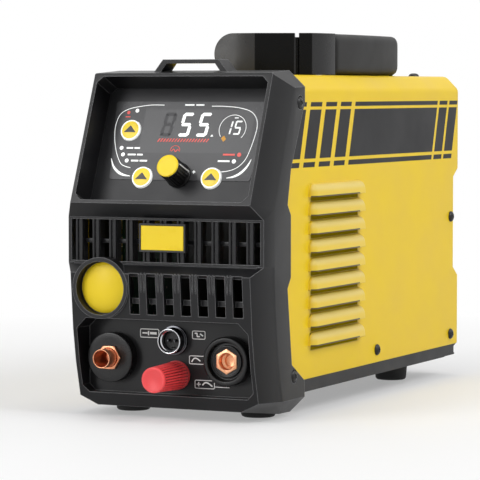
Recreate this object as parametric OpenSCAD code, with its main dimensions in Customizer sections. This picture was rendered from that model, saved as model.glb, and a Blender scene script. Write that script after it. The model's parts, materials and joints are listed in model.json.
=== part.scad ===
// Portable inverter plasma cutter, millimetres.
// X runs to the right, Y to the back and Z up; Z = 0 is the ground.

/* [Case] */
// Outside width of the sheet metal cover
cover_w = 154; // [150:1:170]
// Length of the cover from the bezel joint to its rear edge
cover_len = 311; // [300:1:350]
// Height of the cover's vertical sides
cover_side_h = 205; // [198:1:230]
// Size of the 45 degree bevels along the cover's top edges
cover_bevel = 10.5; // [8:0.5:14]
// Thickness of the sheet metal
sheet_t = 1.5; // [1.2:0.1:2]
// Height of the tray's underside above the ground
tray_z = 16.5; // [15:0.5:20]
// Height of the tray's side band under the cover
tray_band = 9; // [7:0.5:12]
// Length of the slope at the rear end of the tray's side band
tray_slope = 28; // [10:1:40]
// Depth of the notch in the rear edges of the cover's sides
rear_notch = 10; // [6:0.5:12]

/* [Louvres] */
// Number of louvres on each side
louvre_count = 9; // [5:1:9]
// Length of a louvre between its round ends
louvre_len = 86; // [60:1:88]
// Height from one louvre to the next
louvre_pitch = 13.25; // [12.5:0.25:14]
// How far a louvre's hood stands out from the cover
louvre_out = 5.5; // [4:0.5:7]
// Height of a louvre's hood
louvre_h = 9.5; // [8:0.5:11]
// Distance from the bezel joint to the middle of the louvres
louvre_y = 60; // [58:1:80]
// Height of the lowest louvre's lip above the cover's bottom edge
louvre_z = 23; // [20:1:30]

/* [Bezel] */
// How far the bezel stands proud of the cover's sides
bezel_proud = 2.5; // [2.2:0.1:3.5]
// How far the bezel stands proud of the cover's top
bezel_rise = 3.2; // [3:0.1:4.5]
// Wall thickness of the bezel's front
bezel_wall = 2.6; // [2:0.1:3.2]
// Width of the bezel's front face
face_w = 139.4; // [138:0.2:141]
// How far the front face stands forward of the joint
nose = 70.7; // [69:0.1:74]
// Depth of the bevelled strips beside the front face
strip_d = 19.5; // [16:0.5:22]
// Height of the display's lower lip above the ground
lip_z = 151.4; // [149:0.1:154]
// Backward rake of the display face in degrees
rake = 22.5; // [20:0.5:25]
// How far the grille band is set back from the nose
band_set = 9; // [8:0.5:10]
// Height of the grille band
band_h = 32.4; // [30:0.2:33]
// Width of the grille band
band_w = 152; // [150:0.5:154]
// Height of the bevel between the band and the faces above and below
band_bevel = 10.3; // [9.5:0.1:11]
// Height of the bezel's underside above the ground
bezel_z = 2.8; // [2:0.2:4]
// How deep the bezel's side edge is cut back at its waist
waist_d = 29.5; // [27:0.5:32]

/* [Grilles] */
// Distance from one grille fin to the next
fin_pitch = 13.3; // [13:0.1:13.6]
// Width of a grille fin
fin_w = 5.6; // [5:0.1:6]
// Depth of a grille fin
fin_d = 7; // [5:0.5:9]
// Height of the lower grille's windows
window_h = 25; // [20:1:26]
// Diameter of the round badge's recess
badge_d = 37.6; // [35:0.2:38]
// Diameter of the ring round the badge
badge_ring_d = 43.4; // [42:0.2:45]
// Width of the name plate's frame
plate_w = 36; // [32:0.5:38]
// Height of the name plate's frame
plate_h = 20; // [18:0.5:22]

/* [Display] */
// Width of the display opening
display_w = 134; // [130:0.5:134]
// Height of the display opening along its slope
display_h = 93.5; // [90:0.5:94]
// Depth of the display recess, square to the face
display_d = 23; // [20:0.5:24]
// Width of the display film along its top edge
film_w = 121; // [110:1:126]
// How much narrower the display film is along its bottom edge
film_taper = 10.6; // [0:0.2:14]
// Height of the display film
film_h = 59.6; // [56:0.2:64]
// Diameter of a push button
button_d = 15.4; // [13:0.2:16]
// How far a push button travels
button_travel = 0.8; // [0.5:0.1:1]
// Diameter of the control knob at its base
knob_d = 18.6; // [15:0.2:20]
// Height of the control knob
knob_h = 18.6; // [10:0.2:20]

/* [Connectors] */
// Depth of the connector recess floor behind the nose
tub_d = 22.7; // [20:0.1:24]
// Diameter of the torch fitting's insulating boss
torch_boss_d = 34; // [30:0.5:36]
// Outside diameter of the torch fitting's tube
torch_tube_d = 13.3; // [12:0.1:14]
// Inside diameter of the torch fitting's tube
torch_bore_d = 10.9; // [9:0.1:11]
// Size across flats of the torch fitting's nut
torch_nut_af = 16.2; // [15.8:0.1:18]
// Outside diameter of the earth socket
earth_d = 34.6; // [32:0.2:36]
// Bore of the earth socket's contact
earth_bore_d = 11.5; // [10:0.1:12]
// Size across flats of the earth socket's contact
earth_af = 15.7; // [15:0.1:17]
// Diameter of the signal socket's shell
signal_d = 18; // [15:0.1:18]
// Diameter of the pilot terminal's cap at its base
pilot_d = 20; // [18:0.5:22]
// Length of the pilot terminal's cap
pilot_len = 35; // [28:0.5:38]
// Diameter of the pilot terminal's stud
stud_d = 6; // [5:0.5:8]

/* [Handle] */
// Length of the handle between its arms' outer faces
handle_len = 209; // [196:1:216]
// Distance from the bezel joint to the front arm's outer face
handle_y = 49.6; // [44:0.2:58]
// Height of the folded handle
handle_h = 30.4; // [26:0.2:32]
// Reach of the handle from its pivot to its grip's outer side
handle_reach = 62; // [58:0.5:66]
// Thickness of the handle's arms
arm_t = 12; // [10:0.5:14]
// Width of the handle's grip bar
grip_w = 24; // [20:0.5:26]
// Length of the rubber sleeve on the grip
sleeve_len = 119; // [100:1:120]
// Diameter of the handle's hinge pins
hinge_pin_d = 8; // [6:0.5:10]

/* [Rear] */
// Size of the fan's square frame
fan_size = 120; // [110:1:120]
// Depth of the fan
fan_depth = 25; // [20:1:32]
// Width of the power switch's body
switch_w = 30; // [26:0.5:34]
// Height of the power switch's body
switch_h = 44; // [36:0.5:46]
// Thread diameter of the cable gland
gland_d = 20; // [16:1:25]
// Outside diameter of the air inlet's threaded stub
inlet_d = 13.2; // [12:0.1:14]

/* [Inside] */
// Thickness of the circuit boards
board_t = 1.6; // [1.2:0.1:2]
// Outside diameter of the output choke
choke_d = 52; // [44:1:56]
// Outside diameter of the air tube
air_tube_d = 8; // [6:0.5:8.5]
// Diameter of the storage capacitors
cap_d = 30; // [25:1:34]

/* [Fasteners] */
// Head diameter of the case screws
screw_head_d = 8.5; // [7.5:0.1:9]
// Shank diameter of the case screws
screw_d = 4; // [3:0.5:4.5]
// Diameter of the rubber feet at their top
foot_d = 26.6; // [24:0.2:27]

/* [Hidden] */

$fn = 48;
eps = 0.01;
// Gap between pieces that seat on one another
fit = 0.15;
// Gap round a piece that moves
run = 0.4;

// Case heights and half widths
half_w = cover_w/2;
cover_z0 = tray_z + tray_band;
cover_z1 = cover_z0 + cover_side_h;
top_z = cover_z1 + cover_bevel;
in_w = half_w - sheet_t;
floor_z = tray_z + sheet_t;
flange_h = 16;
panel_y = cover_len - rear_notch - 2*sheet_t;
tray_front = 32;

// Bezel stations
bez_half = half_w + bezel_proud;
bez_top = top_z + bezel_rise;
side_wall = bezel_proud - 0.2;
face_half = face_w/2;
band_half = band_w/2;
band_y = -nose + band_set;
band_z1 = lip_z - band_bevel;
band_z0 = band_z1 - band_h;
chest_z = band_z0 - band_bevel*0.62;
brow_z = bez_top - 2;
brow_y = -nose + (brow_z - lip_z)*tan(rake);
edge_top = 12.2;
edge_low = 11.4;
// Setback of the lower face from the nose, by height
chin_line = [[14, 14], [39, 7.5], [62.5, 3.6]];
// Height and setback of the chin under the lower face
chin_z = 7.6;
chin_set = 15;
chin_in = 13.7;
keel_y = 16.5;

// Display face, measured up its slope from the lower lip
slope_len = (brow_z - lip_z)/cos(rake);
film_s = 56.1;
open_s = slope_len/2;
plate_t = 2;
film_t = 0.4;
pcb_gap = 8;
button_r = button_d/2;
button_at = [[-45, 63.6], [-29, 28], [25.2, 28.1]];
button_out = 2.4;
button_flange = 1.2;
knob_at = [-0.5, 29.8];

// Connector recess
tub_y = -nose + tub_d;
tub_floor = 2.5;
tub_z0 = 16.8;
tub_z1 = 70.2;
tub_half = face_half - 3;
torch_at = [-46.2, 41.7];
signal_at = [0.9, 54.9];
pilot_at = [2.8, 30.4];
earth_at = [44.6, 42.3];
torch_boss_h = 8.4;
torch_nut_h = 7;
torch_out = 13.2;
earth_h = 9.4;
signal_h = 7.5;
collar_h = 2;

// Badge
badge_at = [-46.3, 91.6];
badge_face = 0.3;
badge_deep = 8;

// Arch on the bezel's brow
arch_w = 56.8;
arch_top_w = 43.8;
arch_h = 8.3;
arch_t = 2.8;
arch_l = 16.4;
arch_y = -20.4;

// Handle
pivot_z = top_z + 0.3 + handle_h/2;
arm_y0 = handle_y;
arm_y1 = handle_y + handle_len;
boss_r = handle_h/2;
pin_in = 7.5;
bracket_t = 8;
bracket_w = 24;
sleeve_t = 4.6;

// Rear
fan_z = floor_z + 66 + fan_size/2;
fan_y = panel_y - fan_depth - fit;
switch_at = [44, 52];
gland_at = [4, 46];
rocker_tilt = 12;

// Inside
board_x = in_w - 8;
choke_at = [36, 125];
spacer_d = 6;
tray_flange_x = in_w - fit - sheet_t;

// Screws
head_h = 2.6;
side_screws = [[cover_len - 16, 128.8], [cover_len - 16, cover_z0 + 8.8], [139.6, cover_z0 + 9.5]];
top_screw_x = 45;
bezel_screw_at = [[-8.2, cover_z1 - 9], [-18, 30.2]];
screw_len = 9;

// Feet
foot_at = [[49.6, -13.3], [42, 255]];
foot_taper = 2.4;

// Middle of the assembly front to back
front_end = tub_y - fit - collar_h - fit - pilot_len;
rear_end = panel_y + 27;
mid_y = (front_end + rear_end)/2;

module place() translate([0, -mid_y, 0]) children();

// Puts children on the display face: x across, y up the slope, z out of the face
module on_display() translate([0, -nose, lip_z]) rotate([90 - rake, 0, 0]) children();

// Cylinder along Y from y0 to y1 at [x, z]
module rod(at, y0, y1, d, d2 = undef) translate([at.x, y0, at.y]) rotate([-90, 0, 0])
    cylinder(h = y1 - y0, d1 = d, d2 = d2 == undef ? d : d2);

// Box from corner a to corner b
module span(a, b) translate(a) cube(b - a);

module both_sides() {
    children();
    mirror([1, 0, 0]) children();
}

// Extrudes an outline drawn in (x, z) along Y
module along_y(y0, y1) translate([0, y1, 0]) rotate([90, 0, 0]) linear_extrude(y1 - y0) children();

// Extrudes an outline drawn in (y, z) along X
module along_x(x0, x1) translate([x0, 0, 0]) rotate([90, 0, 90]) linear_extrude(x1 - x0) children();

// Rectangle with bevelled corners
module bevel_rect(w, h, c) polygon([[-w/2 + c, -h/2], [w/2 - c, -h/2], [w/2, -h/2 + c], [w/2, h/2 - c],
    [w/2 - c, h/2], [-w/2 + c, h/2], [-w/2, h/2 - c], [-w/2, -h/2 + c]]);

// Hexagonal bar along Y, with its flats at top and bottom or at the sides
module hex_bar(at, y0, y1, af, turn = 0) translate([at.x, y0, at.y]) rotate([-90, turn, 0])
    cylinder(h = y1 - y0, d = af/cos(30), $fn = 6);

// Pan head screw on the origin, its shank going down -Z
module pan_screw(len, head_d = screw_head_d, d = screw_d) {
    rotate_extrude() difference() {
        intersection() {
            translate([0, -head_d*0.62]) circle(r = head_d*0.62 + head_h, $fn = 64);
            square([head_d/2, head_h]);
        }
    }
    translate([0, 0, -len]) cylinder(h = len + eps, d = d);
}

// ---- Case ----

// Side edge between bezel and cover, from top to bottom, as [y, z]
waist = [[0, cover_z1 - 8.5], [-waist_d*0.81, lip_z + 24], [-waist_d, lip_z - 0.8], [-waist_d*0.81, lip_z - 8],
    [-waist_d*0.81, chest_z - 2.5], [-waist_d, chest_z - 9.8], [-waist_d*0.75, cover_z0 + 13], [0, cover_z0]];
lap = 8;

module base_tray() color([0.16, 0.16, 0.17]) place() difference() {
    union() {
        span([-in_w + fit, -tray_front, tray_z], [in_w - fit, cover_len - sheet_t, floor_z]);
        both_sides() {
            // The band under the cover, with a sloped rear end
            along_x(tray_flange_x, half_w - fit) polygon([[-tray_front, tray_z], [cover_len - tray_slope, tray_z],
                [cover_len - 2, cover_z0 - fit], [-tray_front, cover_z0 - fit]]);
            // The flange inside the cover that takes the side screws
            span([tray_flange_x, 0, tray_z], [in_w - fit, cover_len - 2*sheet_t, cover_z0 + flange_h]);
        }
    }
    both_sides() {
        for (s = side_screws) if (s.y < cover_z0 + flange_h)
            translate([in_w - 6, s.x, s.y]) rotate([0, 90, 0]) cylinder(h = 12, d = screw_d);
        for (f = foot_at) translate([f.x, f.y, tray_z - 4]) cylinder(h = 12, d = screw_d);
    }
}

module feet() color([0.07, 0.07, 0.07]) place() both_sides() for (f = foot_at) translate([f.x, f.y, 0])
    difference() {
        rotate_extrude() polygon([[0, 0], [foot_d/2 - foot_taper, 0], [foot_d/2 - foot_taper/2, 1.2],
            [foot_d/2, tray_z - 3], [foot_d/2, tray_z], [0, tray_z]]);
        translate([0, 0, -eps]) cylinder(h = 7, d = screw_head_d + 2);
        cylinder(h = tray_z + 1, d = screw_d + 2*fit);
    }

module foot_screws() color("silver") place() both_sides() for (f = foot_at)
    translate([f.x, f.y, 7]) rotate([180, 0, 0]) translate([0, 0, fit]) pan_screw(tray_z - 7 + 4);

// One side wall of the cover, seen from the right, as a flat outline in (y, z)
module cover_side_outline() polygon(concat(
    [[cover_len, cover_z1 + 1], [-lap*0.4, cover_z1 + 1], [-lap*0.4, cover_z1]],
    [for (p = waist) [p.x - lap, p.y]],
    [[-lap, cover_z0], [cover_len - 1, cover_z0], [cover_len, cover_z0 + 6],
    [cover_len, 81], [cover_len - rear_notch, 87.9], [cover_len - rear_notch, 160.7], [cover_len, 167.3]]));

module cover_profile() polygon([[-half_w, cover_z0], [-half_w, cover_z1], [-half_w + cover_bevel, top_z],
    [half_w - cover_bevel, top_z], [half_w, cover_z1], [half_w, cover_z0], [half_w - sheet_t, cover_z0],
    [half_w - sheet_t, cover_z1 - sheet_t*tan(22.5)], [half_w - cover_bevel - sheet_t*tan(22.5), top_z - sheet_t],
    [-half_w + cover_bevel + sheet_t*tan(22.5), top_z - sheet_t],
    [-half_w + sheet_t, cover_z1 - sheet_t*tan(22.5)], [-half_w + sheet_t, cover_z0]]);

// Hood of one louvre, as [how far out, height over its lip], from the wall round to the lip and back inside
hood_out = louvre_out/5.5;
hood = [[0, louvre_h], [2.5*hood_out, louvre_h - 0.7], [4.3*hood_out, louvre_h - 2.4], [5.2*hood_out, louvre_h - 4.8],
    [louvre_out, 0], [louvre_out - 1.1, 0], [5.2*hood_out - 1.2, louvre_h - 5.2], [4.3*hood_out - 1.1, louvre_h - 3.3],
    [2.5*hood_out - 0.7, louvre_h - 2], [0, louvre_h - 1.6]];

// One louvre on the right side, its lip at height z
module louvre_hood(z) {
    y0 = louvre_y - louvre_len/2;
    translate([half_w, y0 + louvre_len, z]) rotate([90, 0, 0]) linear_extrude(louvre_len)
        polygon(concat([[-0.6, louvre_h]], hood, [[-0.6, louvre_h - 1.6]]));
    for (s = [0, 1]) translate([half_w, y0 + s*louvre_len, z]) rotate([0, 0, s*90 - 90])
        rotate_extrude(angle = 90) polygon(hood);
}

module cover_shell() color([0.9, 0.77, 0.2]) place() difference() {
    union() {
        difference() {
            intersection() {
                along_y(-waist_d - lap, cover_len) cover_profile();
                union() {
                    along_x(-half_w - 1, half_w + 1) cover_side_outline();
                    span([-half_w, -lap*0.4, cover_z1], [half_w, cover_len, top_z + 1]);
                }
            }
            both_sides() for (i = [0 : louvre_count - 1])
                span([in_w - 1, louvre_y - louvre_len/2, cover_z0 + louvre_z + i*louvre_pitch + 0.4],
                    [half_w + 1, louvre_y + louvre_len/2, cover_z0 + louvre_z + i*louvre_pitch + louvre_h - 2.2]);
        }
        both_sides() for (i = [0 : louvre_count - 1]) louvre_hood(cover_z0 + louvre_z + i*louvre_pitch);
    }
    both_sides() {
        for (s = concat(side_screws, bezel_screw_at))
            translate([in_w - 2, s.x, s.y]) rotate([0, 90, 0]) cylinder(h = 6, d = screw_d + 2*fit);
        translate([top_screw_x, cover_len - 16, top_z - 4]) cylinder(h = 6, d = screw_d + 2*fit);
        for (y = bracket_ys) translate([bracket_w/2 - 5, y, top_z - 4]) cylinder(h = 6, d = screw_d);
    }
}

module cover_screws() color([0.1, 0.1, 0.1]) place() both_sides() {
    for (s = side_screws) translate([half_w + fit, s.x, s.y]) rotate([0, 90, 0]) pan_screw(screw_len - 2);
    translate([top_screw_x, cover_len - 16, top_z + fit]) pan_screw(screw_len - 2);
}

// ---- Bezel ----

function mirrored(half) = concat(half, [for (i = [len(half) - 1 : -1 : 0]) [-half[i].x, half[i].y, half[i].z]]);

// Solid through rings of equally many points, each ring symmetric about the YZ plane
module loft(halves) {
    n = 2*len(halves[0]);
    h = len(halves[0]);
    last = (len(halves) - 1)*n;
    polyhedron(
        points = [for (r = halves) each mirrored(r)],
        faces = concat(
            [for (j = [0 : h - 2]) [j, j + 1, n - 2 - j, n - 1 - j]],
            [for (j = [0 : h - 2]) [last + n - 1 - j, last + n - 2 - j, last + j + 1, last + j]],
            [for (i = [0 : len(halves) - 2], j = [0 : n - 1]) let (a = i*n + j, b = i*n + (j + 1)%n) each
                [[a, a + n, b + n], [a, b + n, b]]]));
}

// Half of one ring of the bezel: front corner, side crease and rear corner.
// t is the inset that makes the inside of the wall
function ring(zf, yf, xf, zc, t, xs = bez_half, back = 0) = [[xf - t, yf + t, zf],
    [xs - (t > 0 ? side_wall : 0), yf + strip_d + t, zc], [xs - (t > 0 ? side_wall : 0), back, zc]];

function bezel_rings(t, back) = concat(
    [[[face_half - chin_in - t, -nose + chin_set + t, chin_z + t],
        [bez_half - edge_low - 1 - t, -keel_y, bezel_z + t], [bez_half - edge_low - t, back, bezel_z + t]]],
    [for (c = chin_line) ring(c[0] + (c[0] < 20 ? t : 0), -nose + c[1], face_half, c[0] + (c[0] < 20 ? t : 0), t,
        back = back)],
    [ring(chest_z, -nose, face_half, chest_z - 6, t, back = back)],
    [let (r = ring(band_z0 + t, band_y, band_half, band_z0 + t, t, back = back))
        [r[0], [r[1].x, -nose + strip_d + t, r[1].z], r[2]]],
    [let (r = ring(band_z1 - t, band_y, band_half, band_z1 - t, t, back = back))
        [r[0], [r[1].x, -nose + strip_d + t, r[1].z], r[2]]],
    [ring(lip_z, -nose, face_half, lip_z - 3, t, back = back)],
    [[[face_half - t, brow_y + t, brow_z - t - 0.6], [bez_half - (t > 0 ? side_wall : 0), brow_y + 15.5, bez_top - edge_top],
        [bez_half - (t > 0 ? side_wall : 0), back, bez_top - edge_top + 0.6 - t*0.4]]],
    [[[face_half - 0.8 - t, brow_y + 0.7 + t, brow_z - t], [bez_half - edge_top - 0.1 + 1.3 - t, brow_y + 17, bez_top - 1 - t],
        [bez_half - edge_top - t*0.4, back, bez_top - t]]]);

module tub_outline(grow) {
    c = 7.5;
    d = 4.8;
    polygon([for (p = [[tub_half - c, tub_z1], [-tub_half + c, tub_z1], [-tub_half, tub_z1 - c], [-tub_half, tub_z0 + d],
        [-tub_half + d, tub_z0], [tub_half - d, tub_z0], [tub_half, tub_z0 + d], [tub_half, tub_z1 - c]])
        [p.x + sign(p.x)*grow, p.y + sign(p.y - (tub_z0 + tub_z1)/2)*grow]]);
}

module display_outline(grow) translate([0, open_s]) bevel_rect(display_w + 2*grow, display_h + 2*grow, 4.6);

window_z0 = chest_z - 3.2 - window_h;
windows = [for (k = [-2 : 4]) (k + 0.5)*fin_pitch];

module arch() {
    base = bez_top - 3;
    top = bez_top - 0.6 + arch_h;
    along_y(arch_y, arch_y + arch_l) difference() {
        polygon([[-arch_w/2 - 2, base], [-arch_top_w/2, top], [arch_top_w/2, top], [arch_w/2 + 2, base]]);
        polygon([[-arch_w/2 + arch_t, base - 1], [-arch_top_w/2 + arch_t, top - arch_t],
            [arch_top_w/2 - arch_t, top - arch_t], [arch_w/2 - arch_t, base - 1]]);
    }
}

module front_bezel() color([0.2, 0.2, 0.21]) place() difference() {
    union() {
        difference() {
            loft(bezel_rings(0, 0));
            loft(bezel_rings(bezel_wall, 1));
        }
        intersection() {
            loft(bezel_rings(0, 0));
            union() {
                // Walls of the display recess
                on_display() translate([0, 0, -display_d]) linear_extrude(display_d + 2) display_outline(2);
                // Walls of the connector recess
                along_y(-nose - 2, tub_y + tub_floor) tub_outline(2);
                // Cross bar behind the lower grille
                span([windows[0] - 8, -nose + 1.5, window_z0 + 7], [face_half - 2, -nose + 7, window_z0 + 11]);
            }
        }
        rod(badge_at, -nose - badge_face, -nose + badge_deep + 2, badge_ring_d);
        arch();
    }
    on_display() translate([0, 0, -display_d - 1]) linear_extrude(display_d + 5) display_outline(0);
    along_y(-nose - 5, tub_y) tub_outline(0);
    rod(badge_at, -nose - 2, -nose + badge_deep, badge_d);
    // Opening behind the grille band
    span([-band_half + bezel_wall, band_y - 1, band_z0 + 1.6], [band_half - bezel_wall, band_y + bezel_wall + 0.2, band_z1 - 1.6]);
    // Windows of the lower grille, with grooved dividers
    for (x = windows) {
        span([x - 3.7, -nose - 3, window_z0], [x + 3.7, -nose + 6.2, window_z0 + window_h]);
        // Sloped lip over the window
        along_x(x - 3.7, x + 3.7) polygon([[-nose - 3, window_z0 + window_h - 0.1], [-nose + 3.8, window_z0 + window_h - 0.1],
            [-nose + 1, chest_z + 0.3], [-nose - 3, chest_z + 0.3]]);
    }
    for (k = [-1 : 4], x = [-1.3, 1.3])
        span([k*fin_pitch + x - 0.35, -nose - 3, window_z0 + 1], [k*fin_pitch + x + 0.35, -nose + 1.2, chest_z + 3]);
    // Side edges cut back to the waist
    both_sides() along_x(bez_half - bezel_proud - 0.5, bez_half + 1)
        polygon(concat([[2, waist[0].y]], waist, [[2, cover_z0]]));
    // Recesses and holes for the side screws
    both_sides() for (s = bezel_screw_at) translate([bez_half, s.x, s.y]) rotate([0, 90, 0]) {
        translate([0, 0, -1.2]) cylinder(h = 4, d = screw_head_d + 1.6);
        translate([0, 0, -8]) cylinder(h = 10, d = screw_d + 2*fit);
    }
    // Clearance round the front feet
    both_sides() translate([foot_at[0].x, foot_at[0].y, 0]) cylinder(h = tray_z - 1, d = foot_d + 1.6);
    // Holes for the connectors
    rod(torch_at, tub_y - 1, tub_y + 5, 22);
    rod(signal_at, tub_y - 1, tub_y + 5, signal_d - 2);
    rod(pilot_at, tub_y - 1, tub_y + 5, stud_d + 2*fit);
    rod(earth_at, tub_y - 1, tub_y + 5, 26);
}

module bezel_screws() color([0.1, 0.1, 0.1]) place() both_sides() for (s = bezel_screw_at)
    translate([bez_half - 1.2 + fit, s.x, s.y]) rotate([0, 90, 0]) pan_screw(screw_len - 3);

module upper_grille() color([0.17, 0.17, 0.18]) place() difference() {
    y0 = band_y + 0.5;
    y1 = band_y + bezel_wall + fit;
    in_half = band_half - bezel_wall - 2;
    union() {
        // Rails behind the band's opening
        for (z = [band_z0 - 2.5, band_z1 - 1.2]) span([-in_half, y1, z], [in_half, y1 + 2.4, z + 3.7]);
        // Cross bar
        span([-in_half, y1 + 3, band_z0 + band_h/2 - 2.4], [in_half, y1 + fin_d - 1, band_z0 + band_h/2 + 0.8]);
        for (k = [-5 : 5]) {
            x = k*fin_pitch;
            span([x - fin_w/2, y0, band_z0 + 1.6 + fit], [x + fin_w/2, y1 + eps, band_z1 - 1.6 - fit]);
            span([x - fin_w/2, y1, band_z0 - 2.5], [x + fin_w/2, y1 + fin_d, band_z1 + 2.5]);
        }
    }
    for (k = [-5 : 5]) span([k*fin_pitch - 0.7, y0 - 1, band_z0], [k*fin_pitch + 0.7, y0 + 1.2, band_z1]);
    // Seat of the round badge's ring
    rod(badge_at, y0 - 1, -nose + badge_deep + 2 + fit, badge_ring_d + 2*fit);
}

plate_z = band_z1 - 3.6 - plate_h/2;
plate_y = band_y + 0.5 - fit;

module name_plate_frame() color([0.15, 0.15, 0.16]) place() difference() {
    span([-plate_w/2, plate_y - 4.5, plate_z - plate_h/2], [plate_w/2, plate_y, plate_z + plate_h/2]);
    span([-plate_w/2 + 1.3, plate_y - 6, plate_z - plate_h/2 + 1.3],
        [plate_w/2 - 1.3, plate_y - 3, plate_z + plate_h/2 - 1.3]);
}

module name_plate() color([0.92, 0.8, 0.25]) place()
    span([-plate_w/2 + 1.3 + fit, plate_y - 4.2, plate_z - plate_h/2 + 1.3 + fit],
        [plate_w/2 - 1.3 - fit, plate_y - 3 - fit, plate_z + plate_h/2 - 1.3 - fit]);

module round_badge() color([0.92, 0.8, 0.25]) place()
    translate([badge_at.x, -nose + badge_deep - fit, badge_at.y]) rotate([90, 0, 0]) rotate_extrude($fn = 72)
        intersection() {
            square([badge_d/2 - 0.8, 3]);
            translate([0, 3 - 66]) circle(r = 66, $fn = 240);
        }

// ---- Display ----

module display_panel() color([0.2, 0.2, 0.21]) place() on_display() difference() {
    union() {
        translate([0, 0, -display_d - plate_t - fit]) linear_extrude(plate_t) display_outline(1.8);
        for (x = [-55, 55], s = [16, 84]) translate([x, s, -display_d - plate_t - fit - pcb_gap])
            cylinder(h = pcb_gap + eps, d = 6);
    }
    for (b = button_at) translate([b.x, b.y, -display_d - 5]) cylinder(h = 6, d = button_d + 2*run);
    translate([knob_at.x, knob_at.y, -display_d - 5]) cylinder(h = 6, d = 9.4);
    translate([-25.6, 57.8, -display_d - 5]) cube([46.6, 21, 6]);
}

module display_film() color([0.42, 0.42, 0.43]) place() on_display() difference() {
    translate([0, film_s, -display_d - fit]) linear_extrude(film_t) polygon([for (m = [1, -1]) each
        let (top = film_w/2, low = film_w/2 - film_taper/2, h = film_h/2, c = 1.2, o = [[low - c, -h], [low, c - h],
        [top, h - c], [top - c, h]]) [for (i = [0 : 3]) [m*o[m > 0 ? i : 3 - i].x, o[m > 0 ? i : 3 - i].y]]]);
    for (b = button_at) translate([b.x, b.y, -display_d - 5]) cylinder(h = 8, d = button_d + 2*run);
    translate([knob_at.x, knob_at.y, -display_d - 5]) cylinder(h = 8, d = 9.4);
}

pcb_z = -display_d - plate_t - 2*fit - pcb_gap;

module control_board() color([0.1, 0.35, 0.2]) place() on_display()
    translate([-60, 8, pcb_z - board_t]) cube([120, 80, board_t]);

module digit_display() color([0.12, 0.12, 0.12]) place() on_display()
    translate([-25.2, 58.2, pcb_z + fit]) cube([45.8, 20.2, pcb_gap + plate_t - 1]);

// Height of the tact switches under the buttons' flanges at the end of travel
switch_top = -display_d - plate_t - fit - fit - button_flange - button_travel - fit;

module tact_switches() color([0.15, 0.15, 0.16]) place() on_display() for (b = button_at) {
    translate([b.x - 3, b.y - 3, pcb_z + fit]) cube([6, 6, switch_top - pcb_z - fit - 1]);
    translate([b.x, b.y, switch_top - 1 - eps]) cylinder(h = 1, d = 3.4);
}

module push_button(i) on_display() translate([button_at[i].x, button_at[i].y, 0]) {
    low = -display_d - plate_t - fit - fit - button_flange;
    translate([0, 0, low]) cylinder(h = button_flange, d = button_d + 3);
    translate([0, 0, low]) rotate_extrude($fn = 64) polygon([[0, 0], [button_r, 0],
        [button_r, -display_d + button_out - low - 0.8], [button_r - 0.8, -display_d + button_out - low],
        [0, -display_d + button_out - low + 0.5]]);
}

module button_mode() color([0.9, 0.78, 0.25]) place() push_button(0);
module button_gas() color([0.9, 0.78, 0.25]) place() push_button(1);
module button_metal() color([0.9, 0.78, 0.25]) place() push_button(2);

shaft_d = 6;
module encoder() color([0.5, 0.5, 0.52]) place() on_display() translate([knob_at.x, knob_at.y, 0]) difference() {
    union() {
        translate([-6.5, -6.5, pcb_z + fit]) cube([13, 13, 5.6]);
        translate([0, 0, pcb_z + 5]) cylinder(h = -display_d + 0.3 - pcb_z - 5, d = 9);
    }
    translate([0, 0, pcb_z + 2]) cylinder(h = 30, d = shaft_d + 0.1);
}

module knob_body() color([0.1, 0.1, 0.1]) place() on_display() translate([knob_at.x, knob_at.y, -display_d]) {
    difference() {
        translate([0, 0, 0.6]) cylinder(h = knob_h - 0.6, d1 = knob_d, d2 = knob_d - 1.8);
        for (a = [0 : 15 : 345]) rotate([0, -1.8, a]) translate([knob_d/2 + 0.25, 0, 2.4])
            cylinder(h = knob_h - 5.4, d = 1.3, $fn = 16);
    }
    translate([0, 0, pcb_z + display_d + 2.5]) cylinder(h = -pcb_z - display_d, d = shaft_d);
}

module knob_cap() color([0.92, 0.8, 0.25]) place() on_display()
    translate([knob_at.x, knob_at.y, -display_d + knob_h + fit]) cylinder(h = 1.2, d1 = knob_d - 2.2, d2 = knob_d - 2.8);

// ---- Connectors ----

torch_face = tub_y - fit - torch_boss_h;

module torch_boss() color([0.18, 0.18, 0.18]) place() difference() {
    union() {
        rod(torch_at, torch_face, tub_y - fit, torch_boss_d);
        rod(torch_at, tub_y - 1, tub_y + 10, 22 - 2*fit);
        rod(torch_at, tub_y + tub_floor + fit, tub_y + 8, 28);
    }
    rod(torch_at, torch_face - 1, tub_y + 12, torch_tube_d + 2*fit);
}

module torch_nut() color([0.8, 0.5, 0.25]) place() difference() {
    intersection() {
        hex_bar(torch_at, torch_face - fit - torch_nut_h, torch_face - fit, torch_nut_af, 0);
        rod(torch_at, torch_face - fit - torch_nut_h, torch_face, torch_nut_af*1.12);
    }
    rod(torch_at, torch_face - 12, torch_face + 1, torch_tube_d + 2*fit);
}

module torch_spigot() color([0.82, 0.55, 0.3]) place() difference() {
    union() {
        rod(torch_at, torch_face - torch_out, tub_y + 16, torch_tube_d);
        rod(torch_at, tub_y + 10 + fit, tub_y + 14, 18);
    }
    rod(torch_at, torch_face - torch_out - 1, tub_y + 12, torch_bore_d);
    rod(torch_at, tub_y, tub_y + 20, air_tube_d + 2*fit);
}

module signal_socket() color([0.8, 0.8, 0.82]) place() difference() {
    union() {
        rod(signal_at, tub_y - fit - 1.8, tub_y - fit, signal_d + 3);
        rod(signal_at, tub_y - fit - 1.8 - signal_h, tub_y - 1, signal_d);
        rod(signal_at, tub_y - 1, tub_y + 9, signal_d - 2 - 2*fit);
        hex_bar(signal_at, tub_y + tub_floor + fit, tub_y + tub_floor + 3, signal_d + 3, 0);
    }
    rod(signal_at, tub_y - 12, tub_y + 12, signal_d - 4.2);
}

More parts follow.
